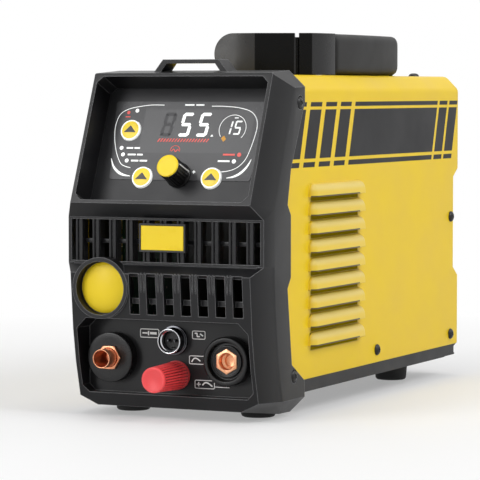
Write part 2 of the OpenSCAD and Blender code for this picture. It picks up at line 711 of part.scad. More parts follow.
module signal_insert() color([0.1, 0.1, 0.1]) place() difference() {
    rod(signal_at, tub_y - 4.4, tub_y + 9, signal_d - 4.2 - 2*fit);
    for (x = [-2.6, 2.6]) rod([signal_at.x + x, signal_at.y], tub_y - 6, tub_y + 12, 2);
}

module signal_pins() color([0.85, 0.7, 0.35]) place() for (x = [-2.6, 2.6])
    rod([signal_at.x + x, signal_at.y], tub_y - 7, tub_y + 11.5, 2 - 2*fit);

module pilot_stud() color([0.82, 0.6, 0.3]) place() {
    rod(pilot_at, tub_y - fit - collar_h - 14, tub_y + 12, stud_d);
    hex_bar(pilot_at, tub_y + tub_floor + fit, tub_y + tub_floor + 4.5, 10, 0);
}

module pilot_collar() color([0.7, 0.12, 0.12]) place() difference() {
    rod(pilot_at, tub_y - fit - collar_h, tub_y - fit, pilot_d + 0.6);
    rod(pilot_at, tub_y - 12, tub_y + 1, stud_d + 2*fit);
}

pilot_y1 = tub_y - fit - collar_h - fit;
module pilot_cap() color([0.8, 0.18, 0.18]) place() translate([pilot_at.x, pilot_y1, pilot_at.y]) rotate([90, 0, 0])
    difference() {
        union() {
            cylinder(h = 5, d = pilot_d);
            translate([0, 0, 5 - eps]) cylinder(h = pilot_len - 5 - 1, d1 = pilot_d - 0.8, d2 = pilot_d - 2);
            translate([0, 0, pilot_len - 1 - eps]) cylinder(h = 1, d1 = pilot_d - 2, d2 = pilot_d - 2.8);
        }
        for (a = [0 : 20 : 340]) rotate([0, 0, a]) translate([pilot_d/2 + 0.05, 0, 6])
            rotate([0, -1.2, 0]) cylinder(h = pilot_len - 9, d = 1.8, $fn = 16);
        translate([0, 0, -1]) cylinder(h = 16, d = stud_d + 0.1);
    }

earth_face = tub_y - fit - earth_h;
module earth_socket() color([0.16, 0.16, 0.16]) place() difference() {
    union() {
        translate([earth_at.x, tub_y - fit, earth_at.y]) rotate([90, 0, 0]) rotate_extrude($fn = 72)
            polygon([[0, 0], [earth_d/2, 0], [earth_d/2, earth_h - 1.2], [earth_d/2 - 1.2, earth_h],
                [earth_d/2 - 3.4, earth_h], [earth_d/2 - 4.2, earth_h - 4.5], [earth_d/2 - 5.8, earth_h - 4.5],
                [earth_d/2 - 6.2, earth_h - 2.5], [0, earth_h - 2.5]]);
        rod(earth_at, tub_y - 1, tub_y + 14, 26 - 2*fit);
        hex_bar(earth_at, tub_y + tub_floor + fit, tub_y + tub_floor + 5, 30, 0);
    }
    hex_bar(earth_at, earth_face - 1, tub_y + 20, earth_af + 2*fit, 30);
}

module earth_contact() color([0.85, 0.6, 0.4]) place() difference() {
    union() {
        hex_bar(earth_at, earth_face + 3.8, tub_y + 14, earth_af, 30);
        rod(earth_at, tub_y + 14 - eps, tub_y + 22, 10);
    }
    rod(earth_at, earth_face, earth_face + 3.8 + 15, earth_bore_d);
}

// ---- Handle ----

bracket_ys = [arm_y0 + arm_t + run + bracket_t/2, arm_y1 - arm_t - run - bracket_t/2];

module handle_brackets() color([0.12, 0.12, 0.12]) place() difference() {
    for (y = bracket_ys) {
        rod([0, pivot_z], y - bracket_t/2, y + bracket_t/2, bracket_w - 2);
        span([-bracket_w/2 + 1, y - bracket_t/2, top_z + fit], [bracket_w/2 - 1, y + bracket_t/2, pivot_z]);
    }
    for (y = bracket_ys) rod([0, pivot_z], y - bracket_t, y + bracket_t, hinge_pin_d);
}

module handle_pins() color("silver") place() {
    rod([0, pivot_z], arm_y0 + arm_t - pin_in + 0.3, bracket_ys[0] + bracket_t/2, hinge_pin_d - 0.02);
    rod([0, pivot_z], bracket_ys[1] - bracket_t/2, arm_y1 - arm_t + pin_in - 0.3, hinge_pin_d - 0.02);
}

handle_mid = (arm_y0 + arm_y1)/2;
// Front half of the handle's outline in plan, from the pivot to the grip's middle
knee_x = handle_reach - 18.2;
handle_outer = [[0, 0], [17.4, 0], [knee_x, 11.2], [knee_x + 1.6, 14], [knee_x + 3.8, 12.9], [handle_reach - 6, 16.4],
    [handle_reach - 2.2, 27], [handle_reach - 0.4, 38], [handle_reach, 45]];
handle_inner = [[handle_reach - grip_w, 45], [handle_reach - grip_w, 33], [handle_reach - grip_w - 7, 22],
    [14, arm_t], [0, arm_t]];

module handle_half() {
    rod([0, pivot_z], arm_y0, arm_y0 + arm_t, handle_h);
    translate([0, arm_y0, pivot_z - handle_h/2]) linear_extrude(handle_h)
        polygon(concat(handle_outer, [[handle_reach, handle_len/2 + eps], [handle_reach - grip_w, handle_len/2 + eps]],
            handle_inner));
}

module about_handle_mid() translate([0, 2*handle_mid, 0]) mirror([0, 1, 0]) children();

module handle_frame() color([0.15, 0.15, 0.15]) place() difference() {
    union() {
        handle_half();
        about_handle_mid() handle_half();
    }
    // Waist of the grip bar under the sleeve
    difference() {
        span([handle_reach - grip_w - 1, handle_mid - sleeve_len/2, pivot_z - handle_h],
            [handle_reach + 1, handle_mid + sleeve_len/2, pivot_z + handle_h]);
        span([handle_reach - grip_w + sleeve_t, handle_mid - sleeve_len, pivot_z - handle_h/2 + sleeve_t],
            [handle_reach - sleeve_t, handle_mid + sleeve_len, pivot_z + handle_h/2 - sleeve_t]);
    }
    rod([0, pivot_z], arm_y0 + arm_t - pin_in, arm_y0 + arm_t + 1, hinge_pin_d + 0.08);
    rod([0, pivot_z], arm_y1 - arm_t - 1, arm_y1 - arm_t + pin_in, hinge_pin_d + 0.08);
}

// Rubber sleeve, bulging outwards along its length
module handle_grip() color([0.24, 0.24, 0.24]) place() difference() {
    c = 4;
    bulge = 3;
    steps = 8;
    translate([handle_reach - grip_w/2, handle_mid, pivot_z]) for (m = [0, 1]) mirror([0, m, 0]) hull()
        for (i = [0 : steps]) {
            u = i/steps;
            b = bulge*cos(90*u);
            translate([0, u*(sleeve_len/2 - fit) - (i == steps ? 0.02 : 0), 0]) rotate([-90, 0, 0]) linear_extrude(0.01)
                polygon([[-grip_w/2 + c, -handle_h/2], [grip_w/2 - c + b, -handle_h/2], [grip_w/2 + b, -handle_h/2 + c],
                    [grip_w/2 + b, handle_h/2 - c], [grip_w/2 - c + b, handle_h/2], [-grip_w/2 + c, handle_h/2],
                    [-grip_w/2, handle_h/2 - c], [-grip_w/2, -handle_h/2 + c]]);
        }
    span([handle_reach - grip_w + sleeve_t - fit, handle_mid - sleeve_len, pivot_z - handle_h/2 + sleeve_t - fit],
        [handle_reach - sleeve_t + fit, handle_mid + sleeve_len, pivot_z + handle_h/2 - sleeve_t + fit]);
}

// ---- Rear ----

module fan_holes(d, h) for (x = [-1, 1], z = [-1, 1])
    rod([x*(fan_size/2 - 7.5), fan_z + z*(fan_size/2 - 7.5)], panel_y - h, panel_y + h, d);

module rear_panel() color([0.18, 0.18, 0.19]) place() difference() {
    union() {
        along_y(panel_y, panel_y + sheet_t) polygon([for (m = [-1, 1]) each
            let (x = tray_flange_x - fit, e = [[x, floor_z + fit], [x, cover_z1 - 1], [in_w - cover_bevel, top_z - sheet_t - fit]])
            [for (i = [0 : 2]) [m*e[m < 0 ? i : 2 - i].x, e[m < 0 ? i : 2 - i].y]]]);
        // Flanges that take the top and side screws
        both_sides() span([tray_flange_x - 0.6, panel_y - 11, 60], [in_w - fit, panel_y + sheet_t, cover_z1 - 4]);
        span([-half_w + cover_bevel + 4, panel_y - 11, top_z - 2*sheet_t - fit],
            [half_w - cover_bevel - 4, panel_y + sheet_t, top_z - sheet_t - fit]);
    }
    rod([0, fan_z], panel_y - 5, panel_y + 5, fan_size - 6);
    fan_holes(screw_d + 2*fit, 6);
    span([switch_at.x - switch_w/2 + 1.6, panel_y - 5, switch_at.y - switch_h/2 + 1.6],
        [switch_at.x + switch_w/2 - 1.6, panel_y + 5, switch_at.y + switch_h/2 - 1.6]);
    rod(gland_at, panel_y - 5, panel_y + 5, gland_d + 2*fit);
    rod(torch_at, panel_y - 5, panel_y + 5, inlet_d + 2*fit);
    both_sides() {
        translate([in_w - 6, side_screws[0].x, side_screws[0].y]) rotate([0, 90, 0]) cylinder(h = 12, d = screw_d);
        translate([top_screw_x, cover_len - 16, top_z - 8]) cylinder(h = 9, d = screw_d);
    }
}

module rear_screws() color("silver") place() for (x = [-1, 1], z = [-1, 1])
    translate([x*(fan_size/2 - 7.5), panel_y + sheet_t + 1.9 + fit, fan_z + z*(fan_size/2 - 7.5)]) rotate([-90, 0, 0])
        pan_screw(screw_len + 2, 7.4, screw_d - 0.4);

module fan_frame() color([0.08, 0.08, 0.08]) place() {
    difference() {
        along_y(fan_y, fan_y + fan_depth) translate([0, fan_z]) bevel_rect(fan_size, fan_size, 5);
        rod([0, fan_z], fan_y - 1, fan_y + fan_depth + 1, fan_size - 5);
        fan_holes(screw_d, fan_depth + 2);
    }
    // Motor plate and its struts at the inner end
    rod([0, fan_z], fan_y, fan_y + 3, 40);
    for (a = [45 : 90 : 315]) translate([0, fan_y, fan_z]) rotate([0, a, 0])
        span([10, 0.4, -2.2], [fan_size/2 + 5, 2.8, 2.2]);
    rod([0, fan_z], fan_y + 2, fan_y + fan_depth - 6, 5);
}

module fan_rotor() color([0.1, 0.1, 0.1]) place() {
    y0 = fan_y + 3 + run + 0.6;
    y1 = fan_y + fan_depth - 2;
    difference() {
        rod([0, fan_z], y0, y1, 38);
        rod([0, fan_z], y0 - 1, fan_y + fan_depth - 5.5, 5.1);
    }
    for (i = [0 : 6]) translate([0, (y0 + y1)/2, fan_z]) rotate([0, i*360/7, 0])
        translate([18, 0, 0]) rotate([38, 0, 0]) translate([0, -0.9, -11]) cube([fan_size/2 - 2.5 - 18 - 3, 1.8, 22]);
}

module fan_guard() color("silver") place() {
    y0 = panel_y + sheet_t + fit;
    for (d = [28 : 20 : 108]) difference() {
        rod([0, fan_z], y0, y0 + 1.9, d + 1.8);
        rod([0, fan_z], y0 - 1, y0 + 3, d - 1.8);
    }
    difference() {
        union() {
            for (a = [45 : 90 : 315]) translate([0, y0, fan_z]) rotate([0, a, 0])
                span([13.5, 0, -0.9], [(fan_size/2 - 7.5)*sqrt(2) - 2, 1.9, 0.9]);
            for (x = [-1, 1], z = [-1, 1])
                rod([x*(fan_size/2 - 7.5), fan_z + z*(fan_size/2 - 7.5)], y0, y0 + 1.9, 8);
        }
        for (x = [-1, 1], z = [-1, 1])
            rod([x*(fan_size/2 - 7.5), fan_z + z*(fan_size/2 - 7.5)], y0 - 1, y0 + 3, screw_d + 2*fit);
    }
}

module power_switch() color([0.08, 0.08, 0.08]) place() difference() {
    union() {
        span([switch_at.x - switch_w/2, panel_y + sheet_t + fit, switch_at.y - switch_h/2],
            [switch_at.x + switch_w/2, panel_y + sheet_t + 3, switch_at.y + switch_h/2]);
        span([switch_at.x - switch_w/2 + 1.8, panel_y - 26, switch_at.y - switch_h/2 + 1.8],
            [switch_at.x + switch_w/2 - 1.8, panel_y + 3, switch_at.y + switch_h/2 - 1.8]);
    }
    span([switch_at.x - switch_w/2 + 4, panel_y - 9, switch_at.y - switch_h/2 + 5],
        [switch_at.x + switch_w/2 - 4, panel_y + 6, switch_at.y + switch_h/2 - 5]);
    translate([switch_at.x - switch_w/2 + 2.6, panel_y - 1, switch_at.y]) rotate([0, 90, 0]) cylinder(h = switch_w - 5.2, d = 3.1);
}

module power_rocker() color([0.7, 0.1, 0.1]) place() translate([switch_at.x, panel_y - 1, switch_at.y]) {
    hw = switch_w/2 - 4 - run;
    hz = switch_h/2 - 5 - run - 1;
    difference() {
        rotate([rocker_tilt, 0, 0]) translate([-hw, 0, 0]) rotate([90, 0, 90]) linear_extrude(2*hw)
            polygon([[-4, -6], [3.4, -hz], [6.6, -hz], [4.4, 0], [6.6, hz], [3.4, hz], [-4, 6]]);
    }
    translate([-switch_w/2 + 2.8, 0, 0]) rotate([0, 90, 0]) cylinder(h = switch_w - 5.6, d = 3);
}

module cable_gland() color([0.07, 0.07, 0.07]) place() difference() {
    union() {
        rod(gland_at, panel_y - 9, panel_y + sheet_t + fit + 1, gland_d);
        hex_bar(gland_at, panel_y + sheet_t + fit, panel_y + sheet_t + 6, gland_d + 4, 0);
        rod(gland_at, panel_y + sheet_t + 5, panel_y + 13, gland_d + 1);
        hex_bar(gland_at, panel_y + 12, panel_y + 21, gland_d + 3.4, 0);
        rod(gland_at, panel_y + 20, panel_y + 25, gland_d + 1, gland_d - 3);
        hex_bar(gland_at, panel_y - fit - 5, panel_y - fit, gland_d + 4, 0);
    }
    rod(gland_at, panel_y - 10, panel_y + 26, gland_d*0.6);
}

module air_inlet() color([0.8, 0.6, 0.3]) place() difference() {
    union() {
        rod(torch_at, panel_y - 12, panel_y + 27, inlet_d);
        hex_bar(torch_at, panel_y + sheet_t + fit, panel_y + sheet_t + 9, inlet_d + 5.8, 0);
        hex_bar(torch_at, panel_y - fit - 6, panel_y - fit, inlet_d + 5.8, 0);
    }
    rod(torch_at, panel_y - 13, panel_y + 28, 7);
}

// ---- Inside ----

valve_y = panel_y - 12;
module solenoid_valve() color([0.75, 0.6, 0.3]) place() {
    difference() {
        span([torch_at.x - 13, valve_y - fit - 26, floor_z + fit], [torch_at.x + 13, valve_y - fit, torch_at.y + 11]);
        rod(torch_at, valve_y - 50, valve_y - 20, air_tube_d + 2*fit);
        rod(torch_at, valve_y - 12, valve_y + 1, 8);
    }
    translate([torch_at.x, valve_y - 14, torch_at.y + 10]) cylinder(h = 28, d = 12);
}

module air_tube() color([0.15, 0.3, 0.6]) place() difference() {
    rod(torch_at, tub_y + 12.5, valve_y - 20.5, air_tube_d);
    rod(torch_at, tub_y, valve_y, air_tube_d - 2.6);
}

module main_board() color([0.1, 0.32, 0.18]) place()
    span([board_x - board_t, 12, floor_z + 8], [board_x, panel_y - fan_depth - 6, cover_z1 - 20]);

spacer_ys = [30, 120, 240];
module board_spacers() color("silver") place() {
    for (y = spacer_ys) translate([board_x + fit, y, cover_z0 + 5]) rotate([0, 90, 0])
        cylinder(h = tray_flange_x - board_x - 2*fit, d = spacer_d);
    for (y = [24, 70]) translate([-tray_flange_x + fit, y, cover_z0 + 5]) rotate([0, 90, 0])
        cylinder(h = tray_flange_x - board_x - 2*fit, d = spacer_d);
}

module heat_sinks() color([0.7, 0.7, 0.72]) place() for (z = [44, 160]) {
    x1 = board_x - board_t - fit;
    span([x1 - 6, 92, z], [x1, 212, z + 46]);
    for (i = [0 : 7]) span([x1 - 42, 92, z + i*6.3], [x1 - 5, 212, z + i*6.3 + 1.9]);
}

core_x = board_x - board_t - fit;
module transformer_core() color([0.25, 0.25, 0.27]) place() difference() {
    span([core_x - 56, 112, 98], [core_x, 176, 150]);
    span([core_x - 46, 111, 107], [core_x - 10, 131, 141]);
    span([core_x - 46, 157, 107], [core_x - 10, 177, 141]);
}

module transformer_winding() color([0.92, 0.75, 0.1]) place() difference() {
    span([core_x - 45.8, 104, 107.2], [core_x - 10.2, 184, 140.8]);
    span([core_x - 60, 130.8, 100], [core_x + 1, 157.2, 150]);
}

choke_w = 22;
module toroid(r0, r1, x0, x1) translate([x0, choke_at.x, choke_at.y]) rotate([0, 90, 0]) difference() {
    cylinder(h = x1 - x0, r = r1);
    translate([0, 0, -1]) cylinder(h = x1 - x0 + 2, r = r0);
}

module choke_core() color([0.92, 0.85, 0.2]) place()
    toroid(choke_d*0.27, choke_d/2 - 5, core_x - choke_w + 5, core_x - 5);

module choke_winding() color([0.75, 0.4, 0.2]) place() difference() {
    toroid(choke_d*0.27 - 4, choke_d/2, core_x - choke_w, core_x - fit);
    toroid(choke_d*0.27 - fit, choke_d/2 - 5 + fit, core_x - choke_w + 5 - fit, core_x - 5 + fit);
}

module capacitors() color([0.12, 0.15, 0.3]) place() for (z = [56, 96, 136, 176])
    translate([core_x - 42, 236, z]) rotate([0, 90, 0]) cylinder(h = 42, d = cap_d);

module coil_board() color([0.1, 0.32, 0.18]) place()
    span([-board_x, 4, floor_z + 8], [-board_x + board_t, 88, 165]);

module start_coil() color([0.9, 0.72, 0.1]) place() translate([-board_x + board_t + fit, 30, 128]) rotate([0, 90, 0]) {
    cylinder(h = 30, d = 24);
    cylinder(h = 3, d = 32);
    translate([0, 0, 27]) cylinder(h = 3, d = 32);
}

base_tray();
feet();
foot_screws();
cover_shell();
cover_screws();
front_bezel();
bezel_screws();
upper_grille();
name_plate_frame();
name_plate();
round_badge();
display_panel();
display_film();
control_board();
digit_display();
tact_switches();
encoder();
knob_body();
knob_cap();
button_mode();
button_gas();
button_metal();
torch_boss();
torch_nut();
torch_spigot();
signal_socket();
signal_insert();
signal_pins();
pilot_stud();
pilot_collar();
pilot_cap();
earth_socket();
earth_contact();
handle_brackets();
handle_pins();
handle_frame();
handle_grip();
rear_panel();
rear_screws();
fan_frame();
fan_rotor();
fan_guard();
power_switch();
power_rocker();
cable_gland();
air_inlet();
solenoid_valve();
air_tube();
main_board();
board_spacers();
heat_sinks();
transformer_core();
transformer_winding();
choke_core();
choke_winding();
capacitors();
coil_board();
start_coil();
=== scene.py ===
import json, math
import bpy, bmesh
from mathutils import Matrix, Vector


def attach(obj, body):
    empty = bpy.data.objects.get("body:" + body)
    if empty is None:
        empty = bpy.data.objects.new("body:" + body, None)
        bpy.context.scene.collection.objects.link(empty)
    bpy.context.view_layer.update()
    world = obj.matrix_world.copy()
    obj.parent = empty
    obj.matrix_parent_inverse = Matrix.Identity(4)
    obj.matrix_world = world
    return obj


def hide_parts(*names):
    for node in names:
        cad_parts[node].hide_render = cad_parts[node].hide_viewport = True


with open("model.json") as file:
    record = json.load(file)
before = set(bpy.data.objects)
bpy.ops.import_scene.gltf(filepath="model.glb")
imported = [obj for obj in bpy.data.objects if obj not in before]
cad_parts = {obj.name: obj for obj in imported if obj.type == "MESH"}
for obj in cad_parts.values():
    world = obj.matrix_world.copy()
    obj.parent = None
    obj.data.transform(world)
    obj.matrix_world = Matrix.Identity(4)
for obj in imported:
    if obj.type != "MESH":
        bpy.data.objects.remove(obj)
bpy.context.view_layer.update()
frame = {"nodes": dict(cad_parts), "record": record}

nodes = frame["nodes"]
scene = bpy.context.scene
midY = 119.85  # pieces are drawn in mm, y from the cover's front joint; the row frame is centred
rowFrame = Matrix.Scale(0.001, 4) @ Matrix.Translation((0, -midY, 0))
unmoved = Matrix.Identity(4)
fittingAt = {"torch": (-46.2, 41.7), "signal": (0.9, 54.9), "pilot": (2.8, 30.4), "earth": (44.6, 42.3)}

# ---- view ----

viewing = {"lens": 201.72, "sensor": 36, "place": (0.8432, -1.7302 - midY / 1000, 0.2306), "tilt": 90 - 3.2025,
    "turn": 25.2, "far": 20}
camData = bpy.data.cameras.new("camera")
camera = bpy.data.objects.new("camera", camData)
scene.collection.objects.link(camera)
camData.lens = viewing["lens"]
camData.sensor_width = viewing["sensor"]
camData.clip_end = viewing["far"]
camera.location = viewing["place"]
camera.rotation_euler = (math.radians(viewing["tilt"]), 0, math.radians(viewing["turn"]))
scene.camera = camera
scene.view_settings.view_transform = "Standard"


# ---- node helpers ----

def tint(code):
    parts = [int(code[i:i + 2], 16) / 255 for i in (1, 3, 5)]
    return tuple(p / 12.92 if p < 0.04045 else ((p + 0.055) / 1.055) ** 2.4 for p in parts) + (1,)


def addNode(tree, kind, inputs=None, **settings):
    node = tree.nodes.new(kind)
    for key, value in settings.items():
        setattr(node, key, value)
    for key, value in (inputs or {}).items():
        if isinstance(value, bpy.types.NodeSocket):
            tree.links.new(value, node.inputs[key])
        else:
            node.inputs[key].default_value = value
    return node


def calc(tree, operation, *values, clamp=False):
    return addNode(tree, "ShaderNodeMath", dict(enumerate(values)), operation=operation, use_clamp=clamp).outputs[0]


def product(tree, first, *others):
    for value in others:
        first = calc(tree, "MULTIPLY", first, value)
    return first


def vectorCalc(tree, operation, out, *values):
    return addNode(tree, "ShaderNodeVectorMath", dict(enumerate(values)), operation=operation).outputs[out]


def axes(tree, vector):
    return addNode(tree, "ShaderNodeSeparateXYZ", {0: vector}).outputs


def facing(tree, kind="Normal"):
    return addNode(tree, "ShaderNodeNewGeometry").outputs[kind]


def mixColor(tree, factor, low, high):
    return addNode(tree, "ShaderNodeMix", {0: factor, 6: low, 7: high}, data_type="RGBA").outputs[2]


def ramp(tree, value, low, high, start=0.0, end=1.0):
    inputs = {"Value": value, "From Min": start, "From Max": end, "To Min": low, "To Max": high}
    return addNode(tree, "ShaderNodeMapRange", inputs).outputs["Result"]


def within(tree, value, middle, half, soft):
    # 1 where the value is less than half from the middle, 0 beyond
    off = calc(tree, "ABSOLUTE", calc(tree, "SUBTRACT", value, middle))
    return ramp(tree, off, 1, 0, half - soft, half + soft)


def startGroup(name, kind, ins, outs):
    tree = bpy.data.node_groups.new(name, kind)
    for way, rows in (("INPUT", ins), ("OUTPUT", outs)):
        for label, socketType, value in rows:
            socket = tree.interface.new_socket(name=label, in_out=way, socket_type="NodeSocket" + socketType)
            if value is not None:
                socket.default_value = value
    return tree, tree.nodes.new("NodeGroupInput").outputs, tree.nodes.new("NodeGroupOutput").inputs


# ---- shared surface effects ----

def startEffect(name, ins, outs):
    # a shader group whose outputs are all numbers
    return startGroup(name, "ShaderNodeTree", ins, [(label, "Float", None) for label in outs])


def buildMouldGrain():
    tree, given, out = startEffect("mouldGrain", [("Vector", "Vector", None), ("Grain Scale", "Float", 2500.0),
        ("Blotch Scale", "Float", 40.0)], ["Height", "Blotch"])
    fine = addNode(tree, "ShaderNodeTexNoise", {"Vector": given["Vector"], "Scale": given["Grain Scale"],
        "Detail": 2.0, "Roughness": 0.6})
    pits = addNode(tree, "ShaderNodeTexVoronoi", {"Vector": given["Vector"], "Scale": given["Grain Scale"]},
        feature="SMOOTH_F1")
    wide = addNode(tree, "ShaderNodeTexNoise", {"Vector": given["Vector"], "Scale": given["Blotch Scale"],
        "Detail": 4.0, "Roughness": 0.55})
    tree.links.new(calc(tree, "MULTIPLY_ADD", pits.outputs["Distance"], 0.35, fine.outputs["Fac"]), out["Height"])
    tree.links.new(ramp(tree, wide.outputs["Fac"], 0, 1, 0.3, 0.7), out["Blotch"])


def buildEdgeRounding():
    tree, given, out = startGroup("edgeRounding", "ShaderNodeTree", [("Radius", "Float", 0.0005)],
        [("Normal", "Vector", None), ("Edge", "Float", None)])
    rounded = addNode(tree, "ShaderNodeBevel", {"Radius": given["Radius"]}, samples=6).outputs[0]
    same = vectorCalc(tree, "DOT_PRODUCT", "Value", rounded, facing(tree))
    tree.links.new(rounded, out["Normal"])
    tree.links.new(ramp(tree, same, 1, 0, 0.86, 0.995), out["Edge"])


def buildDustFall():
    tree, given, out = startEffect("dustFall", [("Vector", "Vector", None), ("Scale", "Float", 90.0)], ["Mask"])
    specks = addNode(tree, "ShaderNodeTexNoise", {"Vector": given["Vector"], "Scale": given["Scale"], "Detail": 6.0})
    upward = ramp(tree, axes(tree, facing(tree))["Z"], 0, 1, 0.3, 1.0)
    tree.links.new(product(tree, upward, ramp(tree, specks.outputs["Fac"], 0, 1, 0.42, 0.75)), out["Mask"])


def buildTurnedLines():
    tree, given, out = startEffect("turnedLines", [("Vector", "Vector", None), ("Density", "Float", 900.0)],
        ["Height", "Streak"])
    along = addNode(tree, "ShaderNodeTexWave", {"Vector": given["Vector"], "Scale": given["Density"],
        "Distortion": 1.2, "Detail": 1.0, "Detail Scale": 2.0}, wave_type="BANDS", bands_direction="Y")
    stretch = addNode(tree, "ShaderNodeMapping", {"Vector": given["Vector"], "Scale": (1.0, 22.0, 1.0)})
    smear = addNode(tree, "ShaderNodeTexNoise", {"Vector": stretch.outputs[0], "Scale": 120.0, "Detail": 4.0})
    tree.links.new(along.outputs["Fac"], out["Height"])
    tree.links.new(ramp(tree, smear.outputs["Fac"], 0, 1, 0.35, 0.65), out["Streak"])


# bands along the cover's sides, cut by leaning gaps of (middle, width); z and y in mm
stripe = {"bands": [(218.5, 221.7), (181.7, 216.4), (175.6, 179.25)], "lean": 0.306, "leanFrom": 221.5, "end": 310.1,
    "gaps": [(12.8, 7.0), (40.1, 7.0), (67.2, 7.0), (94.3, 7.0), (268.15, 4.2), (289.8, 4.2)], "soft": 0.125}


def buildStripePaint():
    soft = stripe["soft"]
    tree, given, out = startEffect("stripePaint", [("Vector", "Vector", None)], ["Mask"])
    place = axes(tree, given["Vector"])
    high = calc(tree, "MULTIPLY", place["Z"], 1000.0)
    back = calc(tree, "MULTIPLY_ADD", place["Y"], 1000.0, midY)
    leaning = calc(tree, "MULTIPLY_ADD", calc(tree, "SUBTRACT", stripe["leanFrom"], high), stripe["lean"], back)
    total = 0.0
    for low, top in stripe["bands"]:
        total = calc(tree, "ADD", total, within(tree, high, (low + top) / 2, (top - low) / 2, soft))
    for middle, width in stripe["gaps"]:
        clear = calc(tree, "SUBTRACT", 1.0, within(tree, leaning, middle, width / 2, soft))
        total = product(tree, total, clear)
    ending = ramp(tree, leaning, 1, 0, stripe["end"] - soft, stripe["end"] + soft)
    tree.links.new(calc(tree, "MULTIPLY", total, ending, clamp=True), out["Mask"])


def buildBoardTraces():
    tree, given, out = startEffect("boardTraces", [("Vector", "Vector", None)], ["Trace", "Pad"])
    flat = addNode(tree, "ShaderNodeMapping", {"Vector": given["Vector"], "Rotation": (0.0, math.radians(90), 0.0)})
    lanes = addNode(tree, "ShaderNodeTexBrick", {"Vector": flat.outputs[0], "Scale": 90.0, "Mortar Size": 0.05,
        "Brick Width": 1.7, "Row Height": 0.28})
    pads = addNode(tree, "ShaderNodeTexVoronoi", {"Vector": given["Vector"], "Scale": 160.0})
    tree.links.new(lanes.outputs["Fac"], out["Trace"])
    tree.links.new(ramp(tree, pads.outputs["Distance"], 1, 0, 0.18, 0.24), out["Pad"])


for build in (buildMouldGrain, buildEdgeRounding, buildDustFall, buildTurnedLines, buildStripePaint, buildBoardTraces):
    build()
print("shared effects ready")


# ---- finishes ----

common = {"grain": 2500.0, "blotch": 40.0, "round": 0.0004, "edgeWearAndSheenShare": 0.5, "dust": 0, "dustColor": "#9a968c",
    "bump": 0.3, "deep": 0.00004, "metal": 0.0, "shine": 0.5, "coatRough": 0.12}


def useGroup(tree, name, inputs):
    return addNode(tree, "ShaderNodeGroup", inputs, node_tree=bpy.data.node_groups[name]).outputs


def startFinish(name, look):
    # grain, rounding and dust that every finish of the machine has, with its own values
    look = {**common, **look}
    mat = bpy.data.materials.new(name)
    mat.use_nodes = True
    tree = mat.node_tree
    shader = tree.nodes["Principled BSDF"].inputs
    vector = addNode(tree, "ShaderNodeTexCoord").outputs["Object"]
    grain = useGroup(tree, "mouldGrain", {"Vector": vector, "Grain Scale": look["grain"],
        "Blotch Scale": look["blotch"]})
    edges = useGroup(tree, "edgeRounding", {"Radius": look["round"]})
    color = mixColor(tree, grain["Blotch"], tint(look["colors"][0]), tint(look["colors"][1]))
    # edges take a lighter colour: partly wear, mostly a painted highlight along the rounded edges, concave ones too
    if "edgeWearAndSheen" in look:
        color = mixColor(tree, product(tree, edges["Edge"], look["edgeWearAndSheenShare"]), color, tint(look["edgeWearAndSheen"]))
    if look["dust"]:
        dust = product(tree, useGroup(tree, "dustFall", {"Vector": vector})["Mask"], look["dust"])
        color = mixColor(tree, dust, color, tint(look["dustColor"]))
    tree.links.new(ramp(tree, grain["Blotch"], *look["rough"]), shader["Roughness"])
    bump = addNode(tree, "ShaderNodeBump", {"Strength": look["bump"], "Distance": look["deep"],
        "Height": grain["Height"], "Normal": edges["Normal"]})
    tree.links.new(bump.outputs[0], shader["Normal"])
    tree.links.new(color, shader["Base Color"])
    shader["Metallic"].default_value = look["metal"]
    shader["Specular IOR Level"].default_value = look["shine"]
    if "coat" in look:
        shader["Coat Weight"].default_value = look["coat"]
        shader["Coat Roughness"].default_value = look["coatRough"]
    return mat, tree, shader, vector, color


